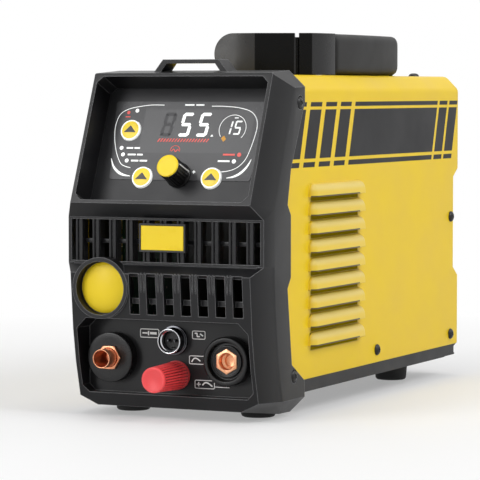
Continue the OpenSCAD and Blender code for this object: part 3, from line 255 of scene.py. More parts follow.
finishes = {
    # on the dark plastics the light edge colour is a painted highlight
    "bezel_plastic": {"colors": ["#111113", "#151517"], "rough": (0.32, 0.4), "grain": 3200, "round": 0.0008,
        "edgeWearAndSheen": "#8e8e90", "edgeWearAndSheenShare": 0.85, "dust": 0.03, "shine": 0.28},
    "grille_plastic": {"colors": ["#1c1c1e", "#212123"], "rough": (0.32, 0.4), "grain": 3200, "round": 0.0006,
        "edgeWearAndSheen": "#8e8e90", "edgeWearAndSheenShare": 0.8, "shine": 0.3},
    "panel_plastic": {"colors": ["#262628", "#2b2b2d"], "rough": (0.34, 0.44), "grain": 3600, "bump": 0.25,
        "edgeWearAndSheen": "#48484a", "edgeWearAndSheenShare": 0.3, "shine": 0.3},
    "yellow_plastic": {"colors": ["#fddb26", "#ffdf32"], "rough": (0.26, 0.36), "bump": 0.12,
        "edgeWearAndSheen": "#f9e27a", "edgeWearAndSheenShare": 0.4, "shine": 0.2},
    "red_plastic": {"colors": ["#f4474a", "#f65054"], "rough": (0.36, 0.46), "bump": 0.25, "edgeWearAndSheen": "#ff7a7c"},
    "knob_black": {"colors": ["#101011", "#151516"], "rough": (0.24, 0.32), "bump": 0.15, "round": 0.0003,
        "edgeWearAndSheen": "#6a6a6a", "edgeWearAndSheenShare": 0.35},
    "black_plastic": {"colors": ["#121213", "#161617"], "rough": (0.24, 0.32), "round": 0.0005,
        "edgeWearAndSheen": "#4c4c4d", "edgeWearAndSheenShare": 0.4, "dust": 0.04, "shine": 0.32},
    "rubber": {"colors": ["#1b1b1b", "#222222"], "rough": (0.62, 0.78), "grain": 1800, "bump": 0.5, "round": 0.0006,
        "dust": 0.1},
    "sleeve_rubber": {"colors": ["#222222", "#282828"], "rough": (0.5, 0.62), "grain": 2400, "bump": 0.45,
        "dust": 0.08, "shine": 0.25},
    "tray_black": {"colors": ["#1e1e20", "#242426"], "rough": (0.42, 0.54), "grain": 1500, "bump": 0.5,
        "deep": 0.00006, "edgeWearAndSheen": "#6b6b6b", "edgeWearAndSheenShare": 0.3, "dust": 0.06, "shine": 0.25},
    "screw_black": {"colors": ["#1a1a1b", "#232324"], "rough": (0.3, 0.42), "metal": 0.4, "bump": 0.2,
        "round": 0.0002, "edgeWearAndSheen": "#7b7b7d"},
    "steel": {"colors": ["#b4b6ba", "#c6c8cc"], "rough": (0.22, 0.38), "metal": 1.0, "bump": 0.25, "round": 0.0002},
    "aluminium": {"colors": ["#b9babd", "#c9cacc"], "rough": (0.3, 0.45), "metal": 1.0, "round": 0.0002},
    "ferrite": {"colors": ["#3a3a3e", "#46464a"], "rough": (0.5, 0.7), "bump": 0.8, "round": 0.0006},
    "tape": {"colors": ["#d8b020", "#e2bf34"], "rough": (0.35, 0.5), "blotch": 160},
    "capacitor": {"colors": ["#1d2740", "#243050"], "rough": (0.3, 0.4), "bump": 0.1, "round": 0.0008, "coat": 0.3},
    "air_hose": {"colors": ["#20508c", "#2a5c9a"], "rough": (0.25, 0.35), "bump": 0.1, "coat": 0.3},
    "ghost_print": {"colors": ["#4f4f51", "#535355"], "rough": (0.3, 0.4), "bump": 0.1, "round": 0.0001, "shine": 0.2},
    "film": {"colors": ["#515153", "#555557"], "rough": (0.2, 0.3), "bump": 0.08, "round": 0.0002, "shine": 0.2},
    "lcd": {"colors": ["#535355", "#575759"], "rough": (0.12, 0.18), "bump": 0.05, "round": 0.0001, "shine": 0.2},
}
inks = {"white_print": ["#ececea", "#f4f4f2"], "amber_print": ["#e8a020", "#f0ac30"],
    "dark_print": ["#3c3c3a", "#464644"]}
for name, pair in inks.items():
    finishes[name] = {"colors": pair, "rough": (0.4, 0.5), "bump": 0.1, "round": 0.0001}
mats = {name: startFinish(name, look)[0] for name, look in finishes.items()}

turnedLooks = {
    "copper": {"at": fittingAt["torch"], "colors": ["#eca27a", "#f4b894"], "rough": (0.24, 0.36), "metal": 0.9,
        "bump": 0.5, "edgeWearAndSheen": "#f6cfa8", "edgeWearAndSheenShare": 0.6, "lines": 700.0, "streak": "#b86a40"},
    "earthCopper": {"at": fittingAt["earth"], "colors": ["#f6b286", "#fcc8a2"], "rough": (0.26, 0.38), "metal": 0.85,
        "bump": 0.4, "edgeWearAndSheen": "#f8dcc0", "edgeWearAndSheenShare": 0.6, "lines": 700.0, "streak": "#c07a50"},
    "brass": {"at": fittingAt["torch"], "colors": ["#c9a458", "#d6b46c"], "rough": (0.22, 0.36), "metal": 1.0,
        "bump": 0.4, "edgeWearAndSheen": "#f0dca0", "edgeWearAndSheenShare": 0.5, "lines": 800.0, "streak": "#a8823c"},
    "plated": {"at": fittingAt["signal"], "colors": ["#c4c5c8", "#d2d3d6"], "rough": (0.08, 0.18), "metal": 1.0,
        "bump": 0.15, "edgeWearAndSheen": "#f2f2f4", "edgeWearAndSheenShare": 0.7, "lines": 600.0, "streak": "#a6a7aa"},
    "platedDark": {"at": fittingAt["signal"], "colors": ["#4c4d50", "#5a5b5f"], "rough": (0.16, 0.26), "metal": 1.0,
        "bump": 0.15, "edgeWearAndSheen": "#d8d8da", "edgeWearAndSheenShare": 0.5, "lines": 600.0, "streak": "#343538"},
}


def buildTurnedMetal(name, look):
    # lathe lines round the axis of the fitting
    mat, tree, shader, vector, color = startFinish(name, {"round": 0.0003, **look})
    x, z = look["at"]
    centred = addNode(tree, "ShaderNodeMapping", {"Vector": vector, "Location": (-x / 1000, 0.0, -z / 1000)})
    lines = useGroup(tree, "turnedLines", {"Vector": centred.outputs[0], "Density": look["lines"]})
    streaked = mixColor(tree, product(tree, lines["Streak"], 0.55), color, tint(look["streak"]))
    tree.links.new(streaked, shader["Base Color"])
    tree.links.new(calc(tree, "MULTIPLY_ADD", lines["Height"], 0.6, lines["Streak"]),
        tree.nodes["Bump"].inputs["Height"])
    return mat


# heights of the louvres' lips, and what is seen on and under each of them, in mm; the colours are painted light and
# shade: a dark strip along each lip (sheared edge and painted shade), painted shade below it and a painted reflection
# on the hoods
louvre = {"first": 48.5, "pitch": 13.25, "count": 9, "lip": (0.95, 1.1), "lipFrom": (78.8, 79.0), "lipEnd": 94.0,
    "middle": 59.0, "half": 44.0, "belowLipShade": 3.6, "belowLipShadeTo": (78.5, 79.2), "hood": (77.6, 79.2), "paintedHoodSheenRise": (0.06, 0.42),
    "paintedHoodSheenShare": (0.16, 0.56), "lipEdgeShadeColor": "#403e39", "belowLipShadeColor": "#857404", "paintedHoodSheenColor": "#ebd996"}
coverLook = {"colors": ["#efca15", "#f2cf1f"], "shine": 0.22, "rough": (0.34, 0.44), "grain": 900, "blotch": 25,
    "bump": 0.22, "deep": 0.00006, "round": 0.0007, "edgeWearAndSheen": "#f4dc7a", "edgeWearAndSheenShare": 0.35, "dust": 0.03,
    "stripe": "#222224", "stripeShine": 0.1, "innerShade": "#3a352a", "core": (0.0, 0.0, 0.13)}


def buildCoverPaint():
    e, look = louvre, coverLook
    mat, tree, shader, vector, color = startFinish("coverPaint", look)
    stripes = useGroup(tree, "stripePaint", {"Vector": vector})["Mask"]
    color = mixColor(tree, stripes, color, tint(look["stripe"]))
    # painted shade: the sheet's inner face is painted dark, for the shade inside the case
    spot = vectorCalc(tree, "SUBTRACT", 0, vector, look["core"])
    flat = vectorCalc(tree, "MULTIPLY", 0, spot, (1.0, 0.0, 0.6))
    outside = vectorCalc(tree, "DOT_PRODUCT", "Value", facing(tree, "True Normal"), flat)
    color = mixColor(tree, ramp(tree, outside, 1, 0, -0.03, -0.015), color, tint(look["innerShade"]))
    # painted highlight: the pressed hoods' upward faces are painted paler than the flat sheet, a painted reflection of
    # the sky
    place = axes(tree, vector)
    across = calc(tree, "ABSOLUTE", calc(tree, "MULTIPLY", place["X"], 1000.0))
    upward = ramp(tree, axes(tree, facing(tree))["Z"], *e["paintedHoodSheenShare"], *e["paintedHoodSheenRise"])
    hood = product(tree, ramp(tree, across, 0, 1, *e["hood"]), upward)
    color = mixColor(tree, hood, color, tint(e["paintedHoodSheenColor"]))
    # painted shade: the sheet below each lip is darkened as if in the hood's shadow
    rise = calc(tree, "MULTIPLY_ADD", place["Z"], 1000.0, -e["first"] + e["pitch"] * 20 + 0.1)  # kept above zero
    step = calc(tree, "MODULO", rise, e["pitch"])
    back = calc(tree, "MULTIPLY_ADD", place["Y"], 1000.0, midY - e["middle"])
    low, top = e["pitch"] * 20 - 4, e["pitch"] * (19 + e["count"]) + 1
    belowLipShadeMask = product(tree, ramp(tree, step, 0, 1, e["pitch"] - e["belowLipShade"], e["pitch"] - e["belowLipShade"] + 0.9),
        within(tree, back, 0.0, e["half"] - 0.75, 0.75),
        within(tree, rise, (low + top) / 2, (top - low) / 2 - 0.1, 0.1), ramp(tree, across, 1, 0, *e["belowLipShadeTo"]))
    color = mixColor(tree, product(tree, belowLipShadeMask, 0.9), color, tint(e["belowLipShadeColor"]))
    # a dark strip along each lip: the sheared edge, painted dark as shade under the lip
    reach = e["lipEnd"] - e["middle"]
    lipEdgeShade = product(tree, ramp(tree, step, 1, 0, *e["lip"]), ramp(tree, across, 0, 1, *e["lipFrom"]),
        ramp(tree, back, 1, 0, reach - 0.5, reach), 0.9)
    tree.links.new(mixColor(tree, lipEdgeShade, color, tint(e["lipEdgeShadeColor"])), shader["Base Color"])
    # the painted shade below the lips also takes the shine away there
    shine = product(tree, ramp(tree, stripes, look["shine"], look["stripeShine"]), calc(tree, "SUBTRACT", 1.0, belowLipShadeMask))
    tree.links.new(shine, shader["Specular IOR Level"])
    return mat


capFluteShade = {"count": 28, "from": (-83.2, -82.0), "away": (7.4, 7.8), "wave": (0.1, 0.95), "dark": "#8c1d22"}


def buildCapPlastic():
    # painted shade: the flutes' floors are painted darker, as shade in the grooves
    g, (x, z) = capFluteShade, fittingAt["pilot"]
    mat, tree, shader, vector, color = startFinish("capRed", finishes["red_plastic"])
    place = axes(tree, vector)
    across = calc(tree, "MULTIPLY_ADD", place["X"], 1000.0, -x)
    up = calc(tree, "MULTIPLY_ADD", place["Z"], 1000.0, -z)
    wave = calc(tree, "COSINE", product(tree, calc(tree, "ARCTAN2", up, across), g["count"]))
    away = calc(tree, "SQRT", calc(tree, "ADD", product(tree, across, across), product(tree, up, up)))
    back = calc(tree, "MULTIPLY_ADD", place["Y"], 1000.0, midY)
    deep = product(tree, ramp(tree, wave, 0, 1, *g["wave"]), ramp(tree, away, 0, 1, *g["away"]),
        ramp(tree, back, 0, 1, *g["from"]), 0.85)
    tree.links.new(mixColor(tree, deep, color, tint(g["dark"])), shader["Base Color"])
    return mat


handleTone = {"middle": 154.1, "boss": 17.5, "slope": 55.9, "outer": (84.5, 85.5), "ends": (0.5, 0.7),
    "seams": (-58.0, 68.5), "seam": 1.6, "bossPaintedHighlight": "#303032", "slopePaintedShade": "#060606", "seamPaintedShade": "#020202"}


def buildHandlePlastic():
    # painted light: the arms' boss fronts are painted lighter as a painted highlight, their sloping faces darker and
    # duller as painted shade, and a dark band of painted shade marks the gap at each end of the sleeve
    h, look = handleTone, finishes["black_plastic"]
    mat, tree, shader, vector, color = startFinish("handlePlastic", look)
    place = axes(tree, vector)
    across = calc(tree, "MULTIPLY", place["X"], 1000.0)
    back = calc(tree, "MULTIPLY_ADD", place["Y"], 1000.0, midY - h["middle"])
    endOn = calc(tree, "ABSOLUTE", axes(tree, facing(tree, "True Normal"))["Y"])
    far = ramp(tree, calc(tree, "ABSOLUTE", back), 0, 1, *h["outer"])
    end = product(tree, ramp(tree, endOn, 0, 1, *h["ends"]), far)
    boss = product(tree, end, within(tree, across, 0.0, h["boss"], 0.3))
    slope = product(tree, calc(tree, "SUBTRACT", end, boss), within(tree, across, 0.0, h["slope"], 0.3))
    gap = calc(tree, "MAXIMUM", *[within(tree, back, at, h["seam"], 0.1) for at in h["seams"]])
    color = mixColor(tree, product(tree, boss, 0.8), color, tint(h["bossPaintedHighlight"]))
    color = mixColor(tree, product(tree, slope, 0.9), color, tint(h["slopePaintedShade"]))
    tree.links.new(mixColor(tree, gap, color, tint(h["seamPaintedShade"])), shader["Base Color"])
    dull = calc(tree, "MAXIMUM", product(tree, slope, 0.65), gap)
    tree.links.new(ramp(tree, dull, look["shine"], 0.0), shader["Specular IOR Level"])
    return mat


boardLook = {"colors": ["#17512c", "#1c5a33"], "rough": (0.3, 0.42), "bump": 0.2, "round": 0.0003,
    "trace": "#2f7a48", "pad": "#c8c4b4"}


def buildBoardFinish():
    mat, tree, shader, vector, color = startFinish("boardMask", boardLook)
    marks = useGroup(tree, "boardTraces", {"Vector": vector})
    color = mixColor(tree, product(tree, marks["Trace"], 0.7), color, tint(boardLook["trace"]))
    tree.links.new(mixColor(tree, marks["Pad"], color, tint(boardLook["pad"])), shader["Base Color"])
    return mat


def buildLitFinish(name, color, strength):
    mat, tree, shader = startFinish(name, {"colors": [color, color], "rough": (0.3, 0.4), "bump": 0.05})[:3]
    shader["Emission Color"].default_value = tint(color)
    shader["Emission Strength"].default_value = strength
    return mat


mats.update({name: buildTurnedMetal(name, look) for name, look in turnedLooks.items()})
mats.update({"case_yellow": buildCoverPaint(), "cap_red": buildCapPlastic(), "handle_plastic": buildHandlePlastic(),
    "board": buildBoardFinish()})
# each lit finish glows; on the keys the glow of the white and yellow lit finishes is painted light
for name, color, strength in (("White", "#f4f6f4", 0.55), ("Yellow", "#ffdf34", 0.14), ("Red", "#e0483e", 0.35)):
    mats["lit_" + name.lower()] = buildLitFinish("lit" + name, color, strength)
print("finishes ready:", len(mats))


# ---- modelling helpers ----

def spread(count):
    return [k * 2 * math.pi / count for k in range(count)]


def pairs(points):
    return [(p.x, p.y) for p in points]


def fillet(points, radius, steps=4, closed=False):
    # rounds the corners of a polyline, in 2D or 3D
    pts = [Vector(p) for p in points]
    made = []
    for i, p in enumerate(pts):
        if not closed and i in (0, len(pts) - 1):
            made.append(p)
            continue
        a, b = pts[i - 1] - p, pts[(i + 1) % len(pts)] - p
        back = min(radius, a.length * 0.45, b.length * 0.45)
        first, last = p + a.normalized() * back, p + b.normalized() * back
        for k in range(steps + 1):
            u = k / steps
            made.append(first * (1 - u) ** 2 + p * 2 * u * (1 - u) + last * u ** 2)
    return made


def box2d(x0, y0, x1, y1):
    return [(x0, y0), (x1, y0), (x1, y1), (x0, y1)]


def smoothLine(points, steps=8):
    # Catmull-Rom through the points
    pts = [Vector(p) for p in points]
    pts = [pts[0] * 2 - pts[1]] + pts + [pts[-1] * 2 - pts[-2]]
    made = []
    for i in range(1, len(pts) - 2):
        a, b, c, d = pts[i - 1:i + 3]
        for k in range(steps):
            u = k / steps
            bent = (2 * a - 5 * b + 4 * c - d) * u ** 2 + (3 * b - a - 3 * c + d) * u ** 3
            made.append(0.5 * (2 * b + (c - a) * u + bent))
    return made + [pts[-2]]


def bridge(bm, rings, closedEnds=True):
    # skin over rings of equally many vertices
    count = len(rings[0])
    for low, high in zip(rings, rings[1:]):
        for i in range(count):
            j = (i + 1) % count
            bm.faces.new((low[i], low[j], high[j], high[i]))
    if closedEnds:
        bm.faces.new(reversed(rings[0]))
        bm.faces.new(rings[-1])


def addRings(bm, sections):
    bridge(bm, [[bm.verts.new(p) for p in section] for section in sections])


def turned(bm, rows, place=unmoved, segs=48):
    # rows of (height, radius), the radius a number or a function of the angle; first and last may be 0
    rings = []
    for height, radius in rows:
        ring = []
        for angle in spread(segs) if radius != 0 else [0.0]:
            r = radius(angle) if callable(radius) else radius
            ring.append(bm.verts.new(place @ Vector((r * math.cos(angle), r * math.sin(angle), height))))
        rings.append(ring)
    if len(rings[0]) > 1 and len(rings[-1]) > 1:  # a tube: its two ends are joined
        rings.append(rings[0])
    for low, high in zip(rings, rings[1:]):
        for i in range(segs):
            j = (i + 1) % segs
            if len(low) == 1:
                bm.faces.new((low[0], high[j], high[i]))
            elif len(high) == 1:
                bm.faces.new((low[i], low[j], high[0]))
            else:
                bm.faces.new((low[i], low[j], high[j], high[i]))


def hexRadius(flats, corner=99):
    # radius of a hexagon across flats, cut back to a cone's radius
    return lambda angle: min(flats / 2 / math.cos((angle % (math.pi / 3)) - math.pi / 6), corner)


def hexRows(start, end, flats, bore, chamfer=0.9, steps=5, lip=0.35):
    # hexagonal nut with its corners turned down at both ends
    inset = flats / 2 * 0.96
    reach = flats / math.sqrt(3) - inset
    corner = [(chamfer * (k / steps) ** 2, hexRadius(flats, inset + reach * k / steps)) for k in range(steps + 1)]
    return [(start, inset)] + [(start + rise, r) for rise, r in corner] \
        + [(end - rise, r) for rise, r in reversed(corner)] \
        + [(end, inset), (end, bore + lip), (end - lip, bore), (start + lip, bore), (start, bore + lip)]


def solidPlate(bm, outline, low, high, place=unmoved):
    # flat outline given a thickness from low to high along the place's z
    ring = [Vector(p) for p in outline]
    if sum(a.x * b.y - b.x * a.y for a, b in zip(ring, ring[1:] + ring[:1])) < 0:
        ring.reverse()
    addRings(bm, [[place @ Vector((p.x, p.y, z)) for p in ring] for z in (low, high)])


def ribbon(bm, line, width, low, high, place=unmoved):
    # strip of one width along a 2D line; width may be a function of 0..1
    pts = [Vector(p) for p in line]
    left, right = [], []
    for i, p in enumerate(pts):
        way = (pts[min(i + 1, len(pts) - 1)] - pts[max(i - 1, 0)]).normalized()
        side = Vector((-way.y, way.x))
        w = width(i / (len(pts) - 1)) if callable(width) else width
        left.append(p + side * w / 2)
        right.append(p - side * w / 2)
    solidPlate(bm, left + right[::-1], low, high, place)


def hoop(bm, radius, width, low, high, place, segs):
    inner, outer = radius - width / 2, radius + width / 2
    turned(bm, [(low, inner), (low, outer), (high, outer), (high, inner)], place, segs)


def settle(obj, *kinds):
    # adds modifiers of (name, type, settings) and turns all of the piece's modifiers into mesh
    for name, kind, values in kinds:
        mod = obj.modifiers.new(name, kind)
        for key, value in values.items():
            setattr(mod, key, value)
    graph = bpy.context.evaluated_depsgraph_get()
    made = bpy.data.meshes.new_from_object(obj.evaluated_get(graph))
    obj.modifiers.clear()
    obj.data = made
    return obj


def makeObject(name, bm):
    mesh = bpy.data.meshes.new(name)
    bm.to_mesh(mesh)
    bm.free()
    obj = bpy.data.objects.new(name, mesh)
    scene.collection.objects.link(obj)
    return obj


def applyTree(obj, tree, values):
    mod = obj.modifiers.new(tree.name, "NODES")
    mod.node_group = tree
    for item in tree.interface.items_tree:
        if item.item_type == "SOCKET" and item.in_out == "INPUT" and item.name in values:
            mod[item.identifier] = values[item.name]
    return settle(obj)


def finishPiece(obj, slotName, stands=(), body="case", angle=30, bevel=0.0, segments=2, mat=None, inRow=False):
    # the finish is the slot's own unless mat names another, or names none for a piece that has its finishes
    if not inRow:
        obj.data.transform(rowFrame)
    if mat != "":
        obj.data.materials.clear()
        obj.data.materials.append(mats[mat or slotName])
    if bevel:
        settle(obj, ("edges", "BEVEL", {"width": bevel / 1000, "segments": segments, "limit_method": "ANGLE",
            "angle_limit": math.radians(28), "use_clamp_overlap": True, "miter_outer": "MITER_ARC"}))
    obj.data.shade_smooth()
    obj.data.set_sharp_from_angle(angle=math.radians(angle))
    if bevel:
        settle(obj, ("evening", "WEIGHTED_NORMAL", {"keep_sharp": True, "weight": 80}))
        # faces with holes in them become plain ones
        settle(obj, ("splitting", "TRIANGULATE", {"min_vertices": 4, "keep_custom_normals": True}))
    obj.data.name = obj.name
    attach(obj, body)
    for node in stands:
        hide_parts(node)
    return obj


def outward(bm, merge=0.0):
    if merge:
        bmesh.ops.remove_doubles(bm, verts=bm.verts, dist=merge)
    bmesh.ops.recalc_face_normals(bm, faces=bm.faces)
    return bm


def addPiece(name, bm, slotName, stands=(), merge=0.0, **look):
    return finishPiece(makeObject(name, outward(bm, merge)), slotName, stands, **look)


def turnedPiece(name, rows, place, segs, slotName, stands=(), **look):
    bm = bmesh.new()
    turned(bm, rows, place, segs)
    return addPiece(name, bm, slotName, stands, 0.0005, **look)


def cadCopy(name, node, flat=0.6, near=0.000004):
    # copy of a solid with its triangles merged back into whole faces, for a bevel
    bm = bmesh.new()
    bm.from_mesh(nodes[node].data)
    bmesh.ops.remove_doubles(bm, verts=bm.verts, dist=near)
    bmesh.ops.dissolve_degenerate(bm, edges=bm.edges, dist=near)
    bmesh.ops.dissolve_limit(bm, angle_limit=math.radians(flat), verts=bm.verts, edges=bm.edges)
    return makeObject(name, bm)


def bevelledCopy(name, node, slotName, bevel, segments=2, **look):
    return finishPiece(cadCopy(name, node), slotName, [node], bevel=bevel, segments=segments, inRow=True, **look)


def at(x, y, z, turn=unmoved):
    return Matrix.Translation((x, y, z)) @ turn


rake = math.radians(67.5)  # the display panel leans back
frontward = Matrix(((1, 0, 0, 0), (0, 0, -1, 0), (0, 1, 0, 0), (0, 0, 0, 1)))  # z out of the front
backward = Matrix(((-1, 0, 0, 0), (0, 0, 1, 0), (0, 1, 0, 0), (0, 0, 0, 1)))  # z out of the back
sideward = Matrix(((0, 0, 1, 0), (1, 0, 0, 0), (0, 1, 0, 0), (0, 0, 0, 1)))  # z out of the right side
displayAt = at(0, -70.7, 151.4, Matrix(((1, 0, 0, 0), (0, math.cos(rake), -math.sin(rake), 0),
    (0, math.sin(rake), math.cos(rake), 0), (0, 0, 0, 1))))


def aboutZ(degrees):
    return Matrix.Rotation(math.radians(degrees), 4, "Z")


# ---- geometry node trees for what repeats ----

def geoTree(name, *rows):
    ends = [("Geometry", "Geometry", None)]
    return startGroup(name, "GeometryNodeTree", ends + list(rows) + [("Material", "Material", None)], ends)


def closeTree(tree, geometry, given, out):
    real = addNode(tree, "GeometryNodeRealizeInstances", {0: geometry})
    painted = addNode(tree, "GeometryNodeSetMaterial", {"Geometry": real.outputs[0], "Material": given["Material"]})
    tree.links.new(painted.outputs[0], out["Geometry"])
    return tree


def joined(tree, *parts):
    node = tree.nodes.new("GeometryNodeJoinGeometry")
    for part in parts:
        tree.links.new(part, node.inputs[0])
    return node.outputs[0]


def vectorOf(tree, x=0.0, y=0.0, z=0.0):
    return addNode(tree, "ShaderNodeCombineXYZ", {0: x, 1: y, 2: z}).outputs[0]


def onPoints(tree, points, instance, **more):
    inputs = {"Points": points, "Instance": instance, **{key.title(): value for key, value in more.items()}}
    return addNode(tree, "GeometryNodeInstanceOnPoints", inputs).outputs[0]


def lineOf(tree, count, start, step):
    inputs = {"Count": count, "Start Location": start, "Offset": step}
    return addNode(tree, "GeometryNodeMeshLine", inputs, mode="OFFSET").outputs[0]


def buildPressedSides():
    # cuts the slots in a folded sheet and sets a hood over each, on both sides
    tree, given, out = geoTree("pressedSides", ("Hood", "Object", None), ("Count", "Int", 9), ("Pitch", "Float", 13.25),
        ("First", "Float", 48.5), ("Half Width", "Float", 77.0), ("Middle", "Float", 60.0),
        ("Slot Length", "Float", 84.0), ("Slot Height", "Float", 6.5), ("Slot Depth", "Float", 8.0))
    hood = addNode(tree, "GeometryNodeObjectInfo", {"Object": given["Hood"]}).outputs["Geometry"]
    step = vectorOf(tree, z=given["Pitch"])
    size = vectorOf(tree, given["Slot Depth"], given["Slot Length"], given["Slot Height"])
    slot = addNode(tree, "GeometryNodeMeshCube", {"Size": size}).outputs["Mesh"]
    lift = vectorOf(tree, z=calc(tree, "MULTIPLY_ADD", given["Slot Height"], 0.5, 0.5))
    hoods, cutters = [], []
    for side, spin in ((1.0, 0.0), (-1.0, math.pi)):
        start = vectorOf(tree, product(tree, given["Half Width"], side), given["Middle"], given["First"])
        line = lineOf(tree, given["Count"], start, step)
        hoods.append(onPoints(tree, line, hood, rotation=(0.0, 0.0, spin)))
        raised = addNode(tree, "GeometryNodeSetPosition", {"Geometry": line, "Offset": lift}).outputs[0]
        cutters.append(onPoints(tree, raised, slot))
    boxes = addNode(tree, "GeometryNodeRealizeInstances", {0: joined(tree, *cutters)}).outputs[0]
    cut = addNode(tree, "GeometryNodeMeshBoolean", {"Mesh 1": given["Geometry"], "Mesh 2": boxes},
        operation="DIFFERENCE", solver="EXACT").outputs[0]
    return closeTree(tree, joined(tree, cut, *hoods), given, out)


def buildScrewSet():
    # one screw on each point, turned to the point's aim and by chance about it
    tree, given, out = geoTree("screwSet", ("Screw", "Object", None), ("Size", "Float", 1.0), ("Twist", "Float", 1.5))
    screw = addNode(tree, "GeometryNodeObjectInfo", {"Object": given["Screw"]}).outputs["Geometry"]
    aim = addNode(tree, "GeometryNodeInputNamedAttribute", {"Name": "aim"}, data_type="FLOAT_VECTOR")
    aligned = addNode(tree, "FunctionNodeAlignRotationToVector", {"Vector": aim.outputs["Attribute"]}, axis="Z")
    chance = addNode(tree, "FunctionNodeRandomValue", {2: 0.0, 3: given["Twist"], "Seed": 7}, data_type="FLOAT")
    twist = addNode(tree, "FunctionNodeAxisAngleToRotation", {"Axis": (0, 0, 1), "Angle": chance.outputs[1]})
    turnedTo = addNode(tree, "FunctionNodeRotateRotation", {"Rotation": aligned.outputs[0],
        "Rotate By": twist.outputs[0]}, rotation_space="LOCAL").outputs[0]
    scale = vectorOf(tree, given["Size"], given["Size"], given["Size"])
    put = onPoints(tree, given["Geometry"], screw, rotation=turnedTo, scale=scale)
    return closeTree(tree, put, given, out)


def buildRowOf():
    # copies of a piece side by side
    tree, given, out = geoTree("rowOf", ("Count", "Int", 11), ("Step", "Vector", (13.3, 0.0, 0.0)),
        ("Start", "Vector", (-66.5, 0.0, 0.0)))
    line = lineOf(tree, given["Count"], given["Start"], given["Step"])
    return closeTree(tree, onPoints(tree, line, given["Geometry"]), given, out)


def buildRingOf():
    # copies of a piece round the z axis
    tree, given, out = geoTree("ringOf", ("Count", "Int", 7))
    spots = addNode(tree, "GeometryNodePoints", {"Count": given["Count"]}).outputs[0]
    turnBy = calc(tree, "DIVIDE", 2 * math.pi, given["Count"])
    angle = product(tree, addNode(tree, "GeometryNodeInputIndex").outputs[0], turnBy)
    return closeTree(tree, onPoints(tree, spots, given["Geometry"], rotation=vectorOf(tree, z=angle)), given, out)


def buildFlutes():
    # presses even flutes into a turned piece, between two heights
    tree, given, out = geoTree("flutes", ("Count", "Int", 26), ("Depth", "Float", 0.6), ("From", "Float", 6.0),
        ("To", "Float", 33.0), ("Run Out", "Float", 1.2))
    part = axes(tree, addNode(tree, "GeometryNodeInputPosition").outputs[0])
    wave = calc(tree, "COSINE", product(tree, calc(tree, "ARCTAN2", part["Y"], part["X"]), given["Count"]))
    push = calc(tree, "POWER", calc(tree, "MULTIPLY_ADD", wave, 0.5, 0.5), 1.6)
    for end, way in (("From", "ADD"), ("To", "SUBTRACT")):
        fade = addNode(tree, "ShaderNodeMapRange", {"Value": part["Z"], "From Min": given[end],
            "From Max": calc(tree, way, given[end], given["Run Out"])}, interpolation_type="SMOOTHSTEP")
        push = product(tree, push, fade.outputs["Result"])
    flat = vectorCalc(tree, "NORMALIZE", 0, vectorOf(tree, part["X"], part["Y"]))
    inward = addNode(tree, "ShaderNodeVectorMath", {0: flat, "Scale": product(tree, push, given["Depth"], -1.0)},
        operation="SCALE").outputs[0]
    moved = addNode(tree, "GeometryNodeSetPosition", {"Geometry": given["Geometry"], "Offset": inward}).outputs[0]
    return closeTree(tree, moved, given, out)


def buildWireRings():
    # rings of one wire, a step apart, round the z axis
    tree, given, out = geoTree("wireRings", ("Count", "Int", 5), ("First", "Float", 14.0), ("Step", "Float", 10.0),
        ("Wire", "Float", 0.95), ("Height", "Float", 0.95))
    level = vectorOf(tree, z=given["Height"])
    spots = addNode(tree, "GeometryNodePoints", {"Count": given["Count"], "Position": level})
    index = addNode(tree, "GeometryNodeInputIndex").outputs[0]
    size = calc(tree, "MULTIPLY_ADD", index, given["Step"], given["First"])
    circle, wire = [addNode(tree, "GeometryNodeCurvePrimitiveCircle", {"Resolution": steps, "Radius": radius},
        mode="RADIUS").outputs[0] for steps, radius in ((72, 1.0), (10, given["Wire"]))]
    rings = onPoints(tree, spots.outputs[0], circle, scale=vectorOf(tree, size, size, 1.0))
    paths = addNode(tree, "GeometryNodeRealizeInstances", {0: rings}).outputs[0]
    tube = addNode(tree, "GeometryNodeCurveToMesh", {"Curve": paths, "Profile Curve": wire}).outputs[0]
    return closeTree(tree, joined(tree, tube, given["Geometry"]), given, out)


trees = {tree.name: tree for tree in (buildPressedSides(), buildScrewSet(), buildRowOf(), buildRingOf(), buildFlutes(),
    buildWireRings())}
print("node trees ready:", ", ".join(sorted(trees)))


# ---- folded cover ----

cover = {"half": 77.0, "seam": 225.0, "fold": 230.5, "top": 241.0, "bevel": 10.5, "length": 311.0, "front": -3.2,
    "bend": 3.2, "sheet": 1.5, "louvres": 9, "pitch": 13.25, "firstLip": 48.5, "middle": 60.0, "straight": 86.0,
    "slot": (8.0, 85.0, 7.1),
    "nose": [(-8, 222), (-31.9, 175.4), (-37.5, 150.6), (-31.9, 143.4), (-31.9, 99.8), (-37.5, 92.5), (-30.1, 38.5),
        (-8, 25.5)],
    "tail": [(310, 25.5), (311, 26.5), (311, 81), (301, 87.9), (301, 160.7), (311, 167.3)],
    "hoodOut": [(-0.7, 9.85), (0.9, 9.45), (3.6, 7.8), (5.1, 4.9), (5.5, 0)],
    "hoodIn": [(4.4, 0), (4.1, 4.6), (2.9, 6.6), (0.6, 7.9), (-0.7, 8.2)]}


def makeHood():
    # one louvre hood, its lip at z = 0 and its middle on the origin, standing out along x
    profile = fillet(cover["hoodOut"], 2.2, 4) + fillet(cover["hoodIn"], 1.6, 3)
    half = cover["straight"] / 2
    sections = []
    for way, angles in ((-1, range(96, -1, -12)), (1, range(0, 97, 12))):
        for angle in map(math.radians, angles):
            sections.append([(p.x * math.cos(angle), way * (half + p.x * math.sin(angle)), p.y) for p in profile])
    bm = bmesh.new()
    addRings(bm, sections)
    return makeObject("hoodPattern", outward(bm, 0.001))


